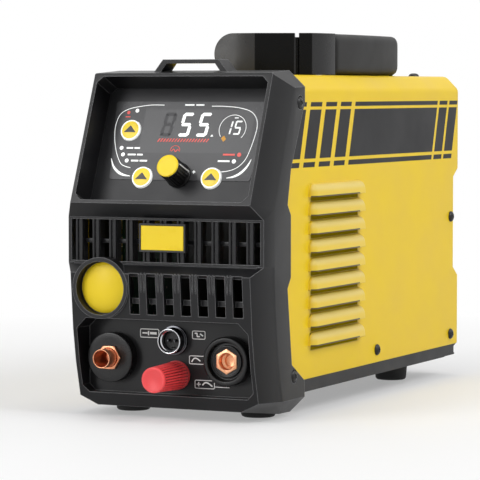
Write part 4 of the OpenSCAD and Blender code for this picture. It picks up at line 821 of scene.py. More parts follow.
def makeCover():
    c = cover
    half = c["half"]
    profile = fillet([(half, c["seam"]), (half, c["fold"]), (half - c["bevel"], c["top"]),
        (c["bevel"] - half, c["top"]), (-half, c["fold"]), (-half, c["seam"])], c["bend"], 5)
    bm = bmesh.new()
    front, rear = [[bm.verts.new((p.x, y, p.y)) for p in profile] for y in (c["front"], c["length"])]
    for i in range(len(profile) - 1):
        bm.faces.new((front[i], front[i + 1], rear[i + 1], rear[i]))
    for side, end in ((1, 0), (-1, -1)):
        bm.faces.new([rear[end], front[end]] + [bm.verts.new((side * half, y, z)) for y, z in c["nose"] + c["tail"]])
    outward(bm)
    if max(bm.faces, key=lambda f: f.calc_center_median().z).normal.z < 0:
        bmesh.ops.reverse_faces(bm, faces=bm.faces)
    sheet = settle(makeObject("coverSheet", bm),
        ("thickness", "SOLIDIFY", {"thickness": c["sheet"], "offset": -1, "use_even_offset": True}))
    pattern = makeHood()
    deep, long, high = c["slot"]
    applyTree(sheet, trees["pressedSides"], {"Hood": pattern, "Count": c["louvres"], "Pitch": c["pitch"],
        "First": c["firstLip"], "Half Width": half, "Middle": c["middle"], "Slot Length": long, "Slot Height": high,
        "Slot Depth": deep, "Material": mats["case_yellow"]})
    bpy.data.objects.remove(pattern)
    finishPiece(sheet, "case_yellow", ["cover_shell"], angle=24)


makeCover()
print("cover folded and louvred")


# ---- screws ----

feetAt = [(-49.6, -13.3), (-42, 255), (49.6, -13.3), (42, 255)]
screw = {"head": 4.25, "high": 2.5, "shank": 2.0, "length": 5.5, "recess": 1.15, "deep": 1.7, "twist": 1.5}
screwSets = {
    "coverScrews": {"node": "cover_screws", "mat": "screw_black", "size": 1.0, "way": (0, 0, 1),
        "sides": [(77.15, 295, 128.8), (77.15, 295, 34.3), (77.15, 139.6, 35.0)],
        "spots": [(-45, 295, 241.15), (45, 295, 241.15)]},
    "bezelScrews": {"node": "bezel_screws", "mat": "screw_black", "size": 1.0, "way": (0, 0, 1),
        "sides": [(78.45, -8.2, 221.5), (78.45, -18, 30.2)], "spots": []},
    "fanScrews": {"node": "rear_screws", "mat": "steel", "size": 0.87, "way": (0, 1, 0), "sides": [],
        "spots": [(x, 301.55, z) for x in (-52.5, 52.5) for z in (91.5, 196.5)]},
    "footScrews": {"node": "foot_screws", "mat": "steel", "size": 0.98, "way": (0, 0, -1), "sides": [],
        "spots": [(x, y, 6.85) for x, y in feetAt]},
}


def makeScrewPattern():
    # pan head with a cross recess, z out of the head
    s = screw
    high, head, shank, end = s["high"], s["head"], s["shank"], -s["length"]
    dome = [(high * math.cos(u), head * math.sin(u) ** 0.8) for u in [math.pi / 2 * k / 8 for k in range(1, 9)]]
    rows = [(high, 0)] + [(max(h, 0.35), r) for h, r in dome] + [(0.0, head - 0.15), (0.0, shank), (end, shank),
        (end - 0.4, shank - 0.5), (end - 0.4, 0)]
    bm = bmesh.new()
    turned(bm, rows, segs=32)
    pattern = makeObject("screwPattern", outward(bm, 0.0005))
    bm = bmesh.new()
    thin, long = s["recess"], head * 1.15
    for wide, tall in ((thin, long), (long, thin)):
        addRings(bm, [[(x * wide * grow, y * tall * grow, z) for x, y in box2d(-1, -1, 1, 1)]
            for grow, z in ((0.35, high - s["deep"]), (0.5, high + 1))])
    cutter = makeObject("screwRecess", outward(bm, 0.00001))
    settle(pattern, ("recess", "BOOLEAN", {"object": cutter, "operation": "DIFFERENCE", "solver": "EXACT",
        "use_self": True}))
    bpy.data.objects.remove(cutter)
    return pattern


def makeScrews():
    pattern = makeScrewPattern()
    for name, row in screwSets.items():
        spots = [(p, (1, 0, 0)) for p in row["sides"]] + [((-x, y, z), (-1, 0, 0)) for x, y, z in row["sides"]]
        spots += [(p, row["way"]) for p in row["spots"]]
        mesh = bpy.data.meshes.new(name)
        mesh.from_pydata([spot for spot, way in spots], [], [])
        aim = mesh.attributes.new("aim", "FLOAT_VECTOR", "POINT")
        for i, (spot, way) in enumerate(spots):
            aim.data[i].vector = way
        obj = bpy.data.objects.new(name, mesh)
        scene.collection.objects.link(obj)
        applyTree(obj, trees["screwSet"], {"Screw": pattern, "Size": row["size"], "Twist": screw["twist"],
            "Material": mats[row["mat"]]})
        finishPiece(obj, row["mat"], [row["node"]])
    bpy.data.objects.remove(pattern)


makeScrews()


# ---- bezel, tray and feet ----

foot = {"top": 13.3, "base": 10.9, "high": 16.5, "hole": 5.2, "shank": 2.3, "floor": 7.0}


def makeFeet():
    f = foot
    high, hole = f["high"], f["hole"]
    side = fillet([(0, hole), (0, f["base"]), (1.2, f["base"] + 1.2), (high - 3, f["top"]), (high, f["top"])], 0.9, 3)
    rows = pairs(side) + [(high, f["shank"]), (f["floor"], f["shank"]), (f["floor"], hole), (0.6, hole)]
    bm = bmesh.new()
    for x, y in feetAt:
        turned(bm, rows, at(x, y, 0), 56)
    addPiece("rubberFeet", bm, "rubber", ["feet"], 0.0005)


bevelledCopy("bezelShell", "front_bezel", "bezel_plastic", 0.55)
bevelledCopy("trayPan", "base_tray", "tray_black", 0.4)
makeFeet()
print("bezel, tray, feet and screws in place")


# ---- grille ----

grille = {"fins": 11, "pitch": 13.3, "start": -67.9, "wide": 2.8, "groove": 0.75, "low": 110.45, "high": 139.35,
    "front": -61.2, "inner": -58.95, "deep": 7.0, "ends": (106.2, 143.6), "railHalf": 71.4,
    "rails": [((0, 106.2, 2.4, 109.9), 0.5, 2), ((0, 139.9, 2.4, 143.6), 0.5, 2), ((3, 122.5, 6, 125.7), 0.7, 3)]}


def makeGrille():
    g = grille
    w, groove, front, inner = g["wide"], g["groove"], g["front"], g["inner"]
    bm = bmesh.new()
    # rounded double ridge with a groove between, drawn across the fin
    half = pairs(fillet([(groove, front + 1.7), (groove + 0.25, front), (w, front), (w, inner + 0.02)], 0.8, 3))
    ridge = [(-x, y) for x, y in reversed(half)] + half
    stem = [(-w, inner), (w, inner), (w - 0.5, inner + g["deep"]), (0.5 - w, inner + g["deep"])]
    for heights, outline in (((g["low"], g["high"]), ridge), (g["ends"], stem)):
        addRings(bm, [[(x, y, z) for x, y in outline] for z in heights])
    fins = makeObject("grilleFins", outward(bm))
    applyTree(fins, trees["rowOf"], {"Count": g["fins"], "Step": (g["pitch"], 0, 0), "Start": (g["start"], 0, 0),
        "Material": mats["grille_plastic"]})
    finishPiece(fins, "bezel_plastic", ["upper_grille"], bevel=0.25, mat="grille_plastic")
    bm = bmesh.new()
    for (y0, z0, y1, z1), radius, steps in g["rails"]:
        section = fillet(box2d(inner + y0, z0, inner + y1, z1), radius, steps, True)
        addRings(bm, [[(x, p.x, p.y) for p in section] for x in (-g["railHalf"], g["railHalf"])])
    addPiece("grilleRails", bm, "bezel_plastic")


badge = {"at": (-46.3, -62.85, 91.6), "radius": 18.0, "high": 3.0, "dish": 1.75,
    "edge": [(0.0, 0), (0.0, 17.9), (0.35, 18.1), (0.8, 18.05), (1.1, 17.6)],
    "rings": (16.8, 15, 13, 11, 9, 7, 5, 3, 1.2)}


def makeBadge():
    b = badge
    dome = [(b["high"] - b["dish"] * (r / b["radius"]) ** 2, r) for r in b["rings"]]
    turnedPiece("roundBadge", b["edge"] + dome + [(b["high"], 0)], at(*b["at"], frontward), 72,
        "yellow_plastic", ["round_badge"], angle=40)


makeGrille()
bevelledCopy("plateFrame", "name_plate_frame", "panel_plastic", 0.35, mat="grille_plastic")
bevelledCopy("namePlate", "name_plate", "yellow_plastic", 0.4, 3)
makeBadge()
print("grille and plates in place")


# ---- display; its marks are drawn on the film in mm along x and up the slope ----

filmTop = -22.75
ink = {"low": filmTop + 0.025, "high": filmTop + 0.07}
window = {"box": (-36, 46.6, 50.5, 80), "corner": 2, "low": filmTop - 0.015, "high": filmTop + 0.02}
segmentShapes = {"a": ((0, 1), (1, 1)), "b": ((1, 1), (1, 0.5)), "c": ((1, 0.5), (1, 0)), "d": ((0, 0), (1, 0)),
    "e": ((0, 0), (0, 0.5)), "f": ((0, 0.5), (0, 1)), "g": ((0, 0.5), (1, 0.5))}
digitSegments = {"8": "abcdefg", "5": "afgcd", "1": "bc"}
digitSizes = {"large": (9.0, 18.2, 2.5), "small": (5.4, 10.6, 1.2)}
digitLean = 0.13


def arcLine(x, s, radius, degrees):
    return [(x + radius * math.cos(math.radians(a)), s + radius * math.sin(math.radians(a))) for a in degrees]


# digits (figure, x, s, size), lines (width, points), bars (width, x, s, length), dots (x, s, radius)
filmMarks = {
    "litDigits": {"mat": "lit_white",
        "digits": [("5", -7.6, 59.2, "large"), ("5", 6.4, 59.2, "large"), ("1", 28.2, 60.9, "small"),
            ("5", 35.4, 60.9, "small")],
        "lines": [(0.45, arcLine(34.9, 65.5, 10.3, range(-42, 222, 6)))], "bars": [(0.7, 35.2, 73.6, 3.0)],
        "plates": [[(18.6, 59.4), (20.9, 59.4), (19.8, 61.1)]]},
    "ghostDigit": {"mat": "ghost_print", "digits": [("8", -21.6, 59.2, "large")]},
    "whiteMarks": {"mat": "lit_white",
        "lines": [(0.55, smoothLine([(-21.9, 83.1), (-31, 83.2), (-40, 82.2), (-50, 79.9), (-56, 75.6), (-58, 67.1),
                (-57, 58), (-54.7, 50.2), (-52, 44), (-48.4, 38.5), (-44.6, 36.3), (-39.9, 35.2)])),
            (0.55, smoothLine([(15.7, 82.4), (26, 82.3), (37, 81.3), (46.5, 78.6), (51.8, 73.5), (53.6, 67),
                (52.8, 58), (50.8, 48), (48.4, 41.5), (43.7, 36.4), (38, 33.9), (31.6, 32.9)])),
            ("swelling", smoothLine([(-56.6, 42), (-53.6, 36), (-48.8, 31.6), (-44, 29.6), (-39, 28.9)])),
            ("swelling", smoothLine([(53.4, 42.5), (51, 37), (47, 32.3), (42, 29.5), (36.7, 28.4)])),
            (0.7, [(10.7, 31.4), (10.7, 33.8)])],
        "bars": [(1.1, -5.6, 83.3, 7.4), (1.1, 3.2, 83.3, 6.4), (1.25, -45.8, 50.2, 5.2), (1.25, -39.6, 50.2, 4.4),
            (1.25, -44.0, 45.2, 6.4), (1.25, -36.6, 45.2, 4.6), (1.25, -40.4, 40.6, 5.8), (1.25, -33.6, 40.6, 6.0),
            (1.25, 27.8, 41, 9.2), (0.7, 9.5, 32.6, 2.4)],
        "dots": [(-42.8, 78.8, 1.5), (-49.9, 50.2, 1.5), (-47.8, 45.2, 1.5), (-43.9, 40.6, 1.5), (40.3, 40.9, 1.6)]},
    "redMarks": {"mat": "lit_red",
        "lines": [(0.45, arcLine(-7.1, 48.6, 3.7, range(-14, 196, 10))),
            (0.6, smoothLine([(-9.8, 48.0), (-8.2, 49.6), (-6.6, 47.7), (-5.2, 49.4), (-4.2, 48.4)]))],
        "bars": [(1.4, 31.0, 45.9, 9.2), (0.8, -51.3, 74, 3.8)], "dots": [(-49.4, 77.3, 1.3), (43.5, 45.9, 1.6)]},
    "currentBar": {"mat": "lit_red", "count": 18, "step": (2.25, 0, 0),
        "plates": [[(-22.6, 55.1), (-21.6, 55.1), (-20.0, 57.7), (-21.0, 57.7)]]},
    "gaugePointer": {"mat": "amber_print", "plates": [[(27.2, 58.2), (29.3, 60.2), (31.3, 57.6), (29.3, 55.4)]]},
}


def drawDigit(bm, digit, x, s, wide, high, bar):
    # leaning seven segment digit with its lower left corner at (x, s)
    gap = bar * 0.16
    for key in digitSegments[digit]:
        (x0, y0), (x1, y1) = segmentShapes[key]
        a, b = Vector((x0 * wide, y0 * high)), Vector((x1 * wide, y1 * high))
        way = (b - a).normalized()
        side = Vector((-way.y, way.x)) * bar / 2
        a, b = a + way * (bar / 2 + gap), b - way * (bar / 2 + gap)
        inset = [bar / 2 if p == q == 0 else -bar / 2 if p == q == 1 else 0 for p, q in ((x0, x1), (y0, y1))]
        tip = way * bar * 0.42
        shape = [p + Vector(inset) for p in (a - tip, a + side, b + side, b + tip, b - side, a - side)]
        leaning = [(p.x + x + p.y * digitLean, p.y + s) for p in shape]
        solidPlate(bm, leaning, ink["low"], ink["high"], displayAt)


def swelling(u):
    return 0.5 + 1.3 * math.sin(math.pi * u)


def makeDisplay():
    w, low, high = window, ink["low"], ink["high"]
    bm = bmesh.new()
    solidPlate(bm, fillet(box2d(*w["box"]), w["corner"], 3, True), w["low"], w["high"], displayAt)
    addPiece("lcdWindow", bm, "film", mat="lcd")
    for name, row in filmMarks.items():
        bm = bmesh.new()
        for figure, x, s, size in row.get("digits", []):
            drawDigit(bm, figure, x, s, *digitSizes[size])
        bars = [(width, [(x, s), (x + length, s)]) for width, x, s, length in row.get("bars", [])]
        for width, line in row.get("lines", []) + bars:
            ribbon(bm, line, swelling if width == "swelling" else width, low, high, displayAt)
        for x, s, r in row.get("dots", []):
            turned(bm, [(low, 0), (low, r), (high, r), (high, 0)], displayAt @ at(x, s, 0), 24)
        for outline in row.get("plates", []):
            solidPlate(bm, outline, low, high, displayAt)
        marks = makeObject(name, outward(bm))
        if "count" in row:
            applyTree(marks, trees["rowOf"], {"Count": row["count"], "Step": row["step"], "Start": (0, 0, 0),
                "Material": mats[row["mat"]]})
        finishPiece(marks, "film", mat=row["mat"])


makeDisplay()

key = {"radius": 7.7, "rim": 6.75, "low": -26.5, "face": -21.5, "flange": 1.5, "dish": 0.5, "rings": (6.4, 5, 3.5, 1.8),
    "mark": [(-4.7, -1.9), (4.7, -1.9), (0, 3.3)], "segs": 56}
keysAt = {"button_mode": ("keyMode", "mode_key", -45, 63.6), "button_gas": ("keyGas", "gas_key", -29, 28.0),
    "button_metal": ("keyMetal", "metal_key", 25.2, 28.1)}


def makeKeys():
    # white skirts with a yellow, dished face; both glow a little, painted light that brightens the keys in the recess's
    # shade
    k = key
    low, face, r, rim = k["low"], k["face"], k["radius"], k["rim"]
    skirt = [(low, 0), (low, r + k["flange"]), (low + 1.2, r + k["flange"]), (low + 1.2, r)]
    skirt += pairs(fillet([(low + 1.3, r), (face, r), (face, rim)], 0.7, 4)) + [(face - 0.12, rim - 0.12)]
    rows = skirt + [(face - 0.12 + k["dish"] * (1 - (q / 6.6) ** 2), q) for q in k["rings"]] + [(face + 0.38, 0)]
    for node, (name, body, x, s) in keysAt.items():
        place = displayAt @ at(x, s, 0)
        bm = bmesh.new()
        turned(bm, rows, place, k["segs"])
        cap = makeObject(name, bm)
        cap.data.materials.append(mats["lit_white"])
        cap.data.materials.append(mats["lit_yellow"])
        for polygon in cap.data.polygons:
            polygon.material_index = int(polygon.index >= (len(skirt) - 1) * k["segs"])
        finishPiece(cap, "yellow_plastic", [node], body, angle=35, mat="")
        bm = bmesh.new()
        solidPlate(bm, fillet(k["mark"], 0.4, 2, True), face + 0.06, face + 0.42, place)
        addPiece(name + "Mark", bm, "yellow_plastic", body=body, mat="dark_print")


makeKeys()

knob = {"place": (-0.5, 29.8, -23), "start": 8.8, "tip": 8.4, "high": 18.6, "flutes": 24, "flute": 0.38, "from": 2.6,
    "runOut": 0.8, "steps": 14, "pointerTurn": 14, "pointerOut": 0.45,
    "foot": [(0.6, 0), (0.6, 9.1), (0.9, 9.3), (2.0, 9.25), (2.3, 8.85)],
    "pointer": [(2.9, 8.6, 0.55), (10, 8.32, 0.5), (17.7, 8.1, 0.45)],
    "cap": [(18.75, 0), (18.75, 8.1), (19.5, 8.1), (19.8, 7.8), (19.95, 7.2)], "crown": 19.95, "dish": 0.25,
    "rings": (5, 3, 1.5)}


def makeKnob():
    k = knob
    start, tip, high, steps = k["start"], k["tip"], k["high"], k["steps"]
    place = displayAt @ at(*k["place"])
    rows = k["foot"] + [(2.8 + (high - 4.0) * i / steps, start - (start - tip) * i / steps) for i in range(steps + 1)]
    rows += [(high - 0.5, tip - 0.15), (high - 0.1, tip - 0.5), (high, tip - 0.9), (high, 0)]
    bm = bmesh.new()
    turned(bm, rows, segs=192)
    body = makeObject("knobBody", bm)
    applyTree(body, trees["flutes"], {"Count": k["flutes"], "Depth": k["flute"], "From": k["from"], "To": high - 1.2,
        "Run Out": k["runOut"], "Material": mats["knob_black"]})
    body.data.transform(place)
    finishPiece(body, "black_plastic", ["knob_body"], "knob", angle=50, mat="knob_black")
    bm = bmesh.new()
    # pointer line down the side that faces right
    turnIt = place @ aboutZ(k["pointerTurn"])
    addRings(bm, [[turnIt @ Vector((x, y, z)) for x, y in box2d(r, -w, r + k["pointerOut"], w)]
        for z, r, w in k["pointer"]])
    addPiece("knobPointer", bm, "black_plastic", body="knob", mat="white_print")
    dome = [(k["crown"] - k["dish"] * (1 - (r / 7.2) ** 2), r) for r in k["rings"]] + [(k["crown"] - k["dish"], 0)]
    turnedPiece("knobCap", k["cap"] + dome, place, 64, "yellow_plastic", ["knob_cap"], body="knob")


makeKnob()
print("display, keys and knob in place")


# ---- sockets ----

recess = -48.0  # floor of the connector recess
seatGap = 0.15


def fittingPlace(name, back=seatGap):
    x, z = fittingAt[name]
    return at(x, recess - back, z, frontward)


torch = {"face": 8.4, "nut": 16.2, "nutHigh": 2.2, "nutBore": 6.8, "out": 12.9, "tube": 6.65, "bore": 5.75,
    "pin": 4.15, "outside": [(0.0, 17.7), (8.4, 17.7), (8.4, 13.2)],
    "inside": [(8.4, 7.2), (8.1, 6.95), (-10, 6.95), (-10, 10.8), (-1, 10.8), (0.0, 11.2)]}


def makeTorchFitting():
    t = torch
    place, face, tube, bore = fittingPlace("torch"), t["face"], t["tube"], t["bore"]
    rows = pairs(fillet(t["outside"], 0.8, 4)) + t["inside"]
    turnedPiece("torchBoss", rows, place, 72, "black_plastic", ["torch_boss"])
    nut = hexRows(face + seatGap, face + seatGap + t["nutHigh"], t["nut"], t["nutBore"], 0.8)
    turnedPiece("torchNut", nut, place, 96, "copper", ["torch_nut"], angle=28)
    neck, tip = face + t["nutHigh"], face + t["out"]
    lip = fillet([(neck + 1.4, tube), (tip, tube), (tip, bore + 0.3), (tip - 1.2, bore), (tip - 4, bore)], 0.3, 3)
    rows = [(-16, t["pin"]), (-16, tube), (face - 1, tube), (neck + 0.9, tube), (neck + 1.0, tube - 0.3),
        (neck + 1.3, tube - 0.3)] + pairs(lip) + [(2.0, bore), (1.2, t["pin"])]
    turnedPiece("torchTube", rows, place, 64, "copper", ["torch_spigot"])


signal = {"shell": 9.0, "tip": 9.3, "pins": (-2.6, 2.6), "segs": 72, "back": [(-10, 6.9), (-10, 7.8), (-1, 7.8)],
    "outside": [(0, 10.5), (1.8, 10.5), (1.8, 9.0), (2.6, 8.65), (3.4, 9.0), (4.3, 8.65), (5.2, 9.0), (6.1, 8.65),
        (7.0, 9.0), (9.0, 9.0), (9.3, 8.7), (9.3, 8.05), (6.7, 7.85), (6.1, 6.9), (1.0, 6.9)],
    "insert": [(-9, 0), (-9, 6.7), (1.6, 6.7), (2.0, 6.3), (2.0, 5.7), (1.7, 5.5), (1.7, 0)],
    "eye": (1.4, 0.5, 1.6, 2.15), "keyway": [(-0.9, -5.6), (-0.9, -4.2), (0.9, -4.2), (0.9, -5.6)],
    "keywayAt": (0.5, 1.6, 2.8), "pin": [(-10, 0), (-10, 0.85), (5.2, 0.85), (5.7, 0.6), (5.9, 0)]}


def makeSignalSocket():
    s = signal
    place = fittingPlace("signal")
    rows = s["back"] + pairs(fillet(s["outside"], 0.3, 3))
    bm = bmesh.new()
    turned(bm, rows, place, s["segs"])
    socket = makeObject("signalShell", outward(bm, 0.0005))
    for name in ("plated", "platedDark"):
        socket.data.materials.append(mats[name])
    # the outside is dark below the bright rim
    dark = [min(a[1], b[1]) > s["shell"] - 0.5 and 0 <= min(a[0], b[0]) and max(a[0], b[0]) < s["tip"] - 0.35
        for a, b in zip(rows, rows[1:])] + [False]
    for polygon in socket.data.polygons:
        polygon.material_index = int(dark[min(polygon.index // s["segs"], len(dark) - 1)])
    finishPiece(socket, "plated", ["signal_socket"], mat="")
    bm = bmesh.new()
    turned(bm, s["insert"], place, 56)
    for x in s["pins"]:
        hoop(bm, *s["eye"], place @ at(x, 0, 0), 24)
    ribbon(bm, s["keyway"], *s["keywayAt"], place)
    addPiece("signalInsert", bm, "black_plastic", ["signal_insert"])
    bm = bmesh.new()
    for x in s["pins"]:
        turned(bm, s["pin"], place @ at(x, 0, 0), 20)
    addPiece("signalPins", bm, "brass", ["signal_pins"], 0.0005, mat="platedDark")


pilot = {"back": 2.3, "start": 9.8, "tip": 9.0, "long": 35.0, "flutes": 28, "flute": 1.2, "from": 6.9, "runOut": 1.4,
    "steps": 20, "skirt": [(12, 0), (12, 3.05), (0, 3.05), (0, 9.7), (0.3, 10.0), (1.6, 10.0), (1.9, 9.55), (2.5, 9.55),
        (2.8, 9.95), (5.4, 9.95), (5.8, 9.5), (6.5, 9.5), (6.8, 9.8)]}


def makePilotCap():
    p = pilot
    long, start, tip, steps = p["long"], p["start"], p["tip"], p["steps"]
    rows = p["skirt"] + [(p["from"] + (long - 8.7) * i / steps, start - (start - tip) * i / steps)
        for i in range(steps + 1)]
    rows += pairs(fillet([(long - 1.7, tip), (long, tip - 0.05), (long, tip - 2.5)], 1.0, 4))
    rows += [(long - 0.12, tip - 2.7), (long - 0.12, 0)]
    bm = bmesh.new()
    turned(bm, rows, segs=224)
    cap = makeObject("pilotCap", outward(bm, 0.0005))
    applyTree(cap, trees["flutes"], {"Count": p["flutes"], "Depth": p["flute"], "From": p["from"], "To": long - 1.9,
        "Run Out": p["runOut"], "Material": mats["cap_red"]})
    cap.data.transform(fittingPlace("pilot", p["back"]))
    finishPiece(cap, "red_plastic", ["pilot_cap"], "pilot_knob", angle=50, mat="cap_red")


earth = {"face": 7.3, "flats": 15.7, "bore": 5.75, "back": -14, "turn": 30,
    "outside": [(0, 17.3), (8.4, 17.3), (9.4, 16.3), (9.4, 14.0), (8.5, 13.7), (5.0, 13.0), (5.0, 11.4), (6.8, 11.2),
        (6.8, 10.1), (6.3, 9.9), (6.3, 6.95)], "inside": [(-14, 6.95), (-14, 12.8), (0.0, 12.8)]}


def makeEarthSocket():
    e = earth
    place, face, bore = fittingPlace("earth"), e["face"], e["bore"]
    rows = e["inside"] + pairs(fillet(e["outside"], 0.4, 3))
    turnedPiece("earthRing", rows, place, 84, "black_plastic", ["earth_socket"])
    flats = [(z, hexRadius(e["flats"] - less)) for z, less in
        ((e["back"], 0), (face - 4, 0), (face - 0.5, 0), (face - 0.15, 0.3), (face, 0.9))]
    rows = [(e["back"], 0)] + flats + [(face, bore + 0.5), (face - 0.5, bore), (face - 5, bore),
        (face - 6.2, bore - 1.6), (face - 9, bore - 1.6), (face - 9.5, 0)]
    turnedPiece("earthContact", rows, place @ aboutZ(e["turn"]), 96, "copper", ["earth_contact"], angle=28,
        mat="earthCopper")


# frames (box) and lines (width, points) of the plain pictograms, in mm on the recess floor
labels = {"low": 0.01, "high": 0.07, "border": 0.55,
    "frames": [(-26.3, 55.9, -11.2, 62.3), (14.6, 56.2, 25.0, 62.3), (12.2, 38.6, 26.0, 44.8),
        (16.6, 21.7, 32.2, 27.9)],
    "lines": [(1.0, [(-24.4, 59.2), (-20.4, 59.2)]), (1.0, [(-19.6, 57.6), (-19.6, 60.7)]),
        (1.7, [(-18.4, 59.2), (-13.2, 59.2)]), (0.9, [(20.8, 60.2), (23.2, 58.6)]),
        (0.9, smoothLine([(16.6, 60.4), (18.4, 60.4), (18.6, 58.3), (20.6, 58.3)])),
        (0.9, smoothLine([(14.2, 40.2), (16.0, 42.6), (18.2, 42.8), (21, 41)])),
        (0.8, [(18.2, 24.8), (21.2, 24.8)]), (0.8, [(19.7, 23.3), (19.7, 26.3)]),
        (1.0, smoothLine([(22.6, 24.2), (24.6, 26.0), (27, 25.8), (30.4, 23.6)])),
        (0.55, [(32.2, 23.4), (43.6, 23.4)])]}


def makeSocketLabels():
    low, high, rim = labels["low"], labels["high"], labels["border"]
    place = at(0, recess, 0, frontward)
    bm = bmesh.new()
    for x0, z0, x1, z1 in labels["frames"]:
        line = fillet(box2d(x0, z0, x1, z1), 1.3, 3, True)
        inner = fillet(box2d(x0 + rim, z0 + rim, x1 - rim, z1 - rim), 0.8, 3, True)
        rings = [[bm.verts.new(place @ Vector((p.x, p.y, h))) for p in ring]
            for ring, h in ((inner, low), (line, low), (line, high), (inner, high))]
        bridge(bm, rings + [rings[0]], False)
    for width, line in labels["lines"]:
        ribbon(bm, line, width, low, high, place)
    addPiece("socketLabels", bm, "bezel_plastic", mat="white_print")


makeTorchFitting()
makeSignalSocket()
makePilotCap()
makeEarthSocket()
makeSocketLabels()
print("sockets in place")


# ---- handle ----

grip = {"from": 97.7, "to": 221.0, "x0": 38.0, "x1": 62.0, "z0": 241.3, "z1": 271.7, "corner": 7.0, "bulge": 3.0,
    "middle": 154.1, "stations": 24,
    "head": [(0.0, 2.4), (0.002, 1.3), (0.006, 0.6), (0.012, 0.15), (0.02, 0.0)],
    "tail": [(0.955, 0.0), (0.968, 0.3), (0.979, 0.9), (0.988, 1.8), (0.995, 2.9), (1.0, 4.4)]}
# the rear corner of the frame is rounder than the front one: each corner of the solid and where it goes
rearCorner = {"shoulder": (213.6, 221.2, 58.0), "squat": 0.87, "squatted": 2, "near": 0.4,
    "moves": [((61.6, 220.6), (57.4, 223.2)), ((59.8, 231.6), (52.6, 231.9)), ((56.0, 242.2), (48.2, 241.2)),
        ((47.6, 245.7), (46.2, 245.4))]}
# a groove crosses the top of each corner where the arm meets the grip
groove = {"at": (45.8, 61.4), "along": (0.9206, 0.3905), "inward": (-0.3905, 0.9206), "half": 1.5, "deep": 3.0,
    "reach": (-3, 40)}


def makeHandleFrame():
    g, c = grip, rearCorner
    handleFrame = cadCopy("handleFrame", "handle_frame")
    level = (g["z0"] + g["z1"]) / 2000
    old, new, widest = c["shoulder"]
    for vert in handleFrame.data.vertices:
        x, y = vert.co.x * 1000, vert.co.y * 1000 + midY
        if abs(y - old) < 0.3:
            vert.co.y = (new - midY) / 1000
            vert.co.x = min(vert.co.x, widest / 1000)
            vert.co.z = level + (vert.co.z - level) * c["squat"]
        for i, ((oldX, oldY), (newX, newY)) in enumerate(c["moves"]):
            if abs(x - oldX) < c["near"] and abs(y - oldY) < c["near"]:
                vert.co.x, vert.co.y = newX / 1000, (newY - midY) / 1000
                if i < c["squatted"]:
                    vert.co.z = level + (vert.co.z - level) * c["squat"]
    half, (start, end) = groove["half"], groove["reach"]
    corner, along, inward = [Vector(groove[key]) for key in ("at", "along", "inward")]
    front = [corner + along * a + inward * b for a, b in box2d(-half, start, half, end)]
    bm = bmesh.new()
    for ring in (pairs(front), [(p.x, 2 * g["middle"] - p.y) for p in front]):
        addRings(bm, [[(x, y, z) for x, y in ring] for z in (g["z1"] - groove["deep"], g["z1"] + 3)])
    cutter = makeObject("grooveCutter", outward(bm))
    cutter.data.transform(rowFrame)
    settle(handleFrame, ("grooves", "BOOLEAN", {"operation": "DIFFERENCE", "object": cutter}))
    bpy.data.objects.remove(cutter)
    finishPiece(handleFrame, "black_plastic", ["handle_frame"], "handle", angle=14, bevel=0.8, segments=6,
        mat="handle_plastic", inRow=True)


def makeGripSleeve():
    g = grip
    length, count = g["to"] - g["from"], g["stations"]
    stations = g["head"] + [(k / count, 0.0) for k in range(1, count - 1)] + g["tail"]
    sections = []
    for u, pinch in stations:
        swell = g["bulge"] * math.sin(math.pi * u) ** 0.8 if 0 < u < 1 else 0
        outline = box2d(g["x0"] + pinch, g["z0"] + pinch + 0.05, g["x1"] + swell - pinch, g["z1"] - pinch - 0.05)
        ring = fillet(outline, g["corner"], 7, True)
        sections.append([(p.x, g["from"] + length * u, p.y) for p in ring])
    bm = bmesh.new()
    addRings(bm, sections)
    addPiece("gripSleeve", bm, "sleeve_rubber", ["handle_grip"], 0.0001, body="handle", angle=50)


makeHandleFrame()
makeGripSleeve()
print("handle in place")


# ---- rear ----

fan = {"z": 144.0, "seat": 276.85, "blades": 7, "hub": 18.8, "long": 19.0, "root": 17.5, "reach": 54.0,
    "pitch": (52, -24), "sweep": 10, "chord": (21.5, 3.5), "camber": 1.6, "thick": 0.45, "middle": 9.5, "flat": 0.82,
    "low": 0.6, "high": 18.4, "stations": 8, "steps": 6}


def makeFan():
    f = fan
    place, long, hub, steps = at(0, f["seat"], f["z"], backward), f["long"], f["hub"], f["steps"]
    rows = [(6, 0), (6, 2.6), (0, 2.6), (0, hub - 1)]
    rows += pairs(fillet([(0, hub - 1), (0, hub), (long, hub), (long, 4)], 1.6, 4)[1:])
    turnedPiece("fanHub", rows + [(long - 0.25, 15.5), (long - 0.25, 0)], place, 64, "black_plastic",
        body="fan", angle=40)
    # cambered, twisted and swept blade
    sections = []
    for k in range(f["stations"] + 1):
        u = k / f["stations"]
        r = f["root"] + (f["reach"] - f["root"]) * u
        pitch, sweep = math.radians(f["pitch"][0] + f["pitch"][1] * u), math.radians(f["sweep"] * u * u)
        chord = f["chord"][0] + f["chord"][1] * u
        ring = []
        for way in (1, -1):
            for j in range(steps + 1)[::way]:
                v = j / steps
                a = (v - 0.5) * chord
                thick = 2 * f["thick"] * (1 - 0.7 * abs(2 * v - 1)) * way * 0.5 + f["camber"] * (1 - (2 * v - 1) ** 2)
                tangent = a * math.cos(pitch) - thick * math.sin(pitch)
                height = f["middle"] + a * math.sin(pitch) * f["flat"] + thick * math.cos(pitch)
                angle = sweep + tangent / r
                ring.append((r * math.cos(angle), r * math.sin(angle), min(max(height, f["low"]), f["high"])))
        sections.append(ring)
    bm = bmesh.new()
    addRings(bm, sections)
    blades = makeObject("fanBlades", outward(bm, 0.0001))
    applyTree(blades, trees["ringOf"], {"Count": f["blades"], "Material": mats["black_plastic"]})
    blades.data.transform(place)
    finishPiece(blades, "black_plastic", ["fan_rotor"], "fan", angle=45)


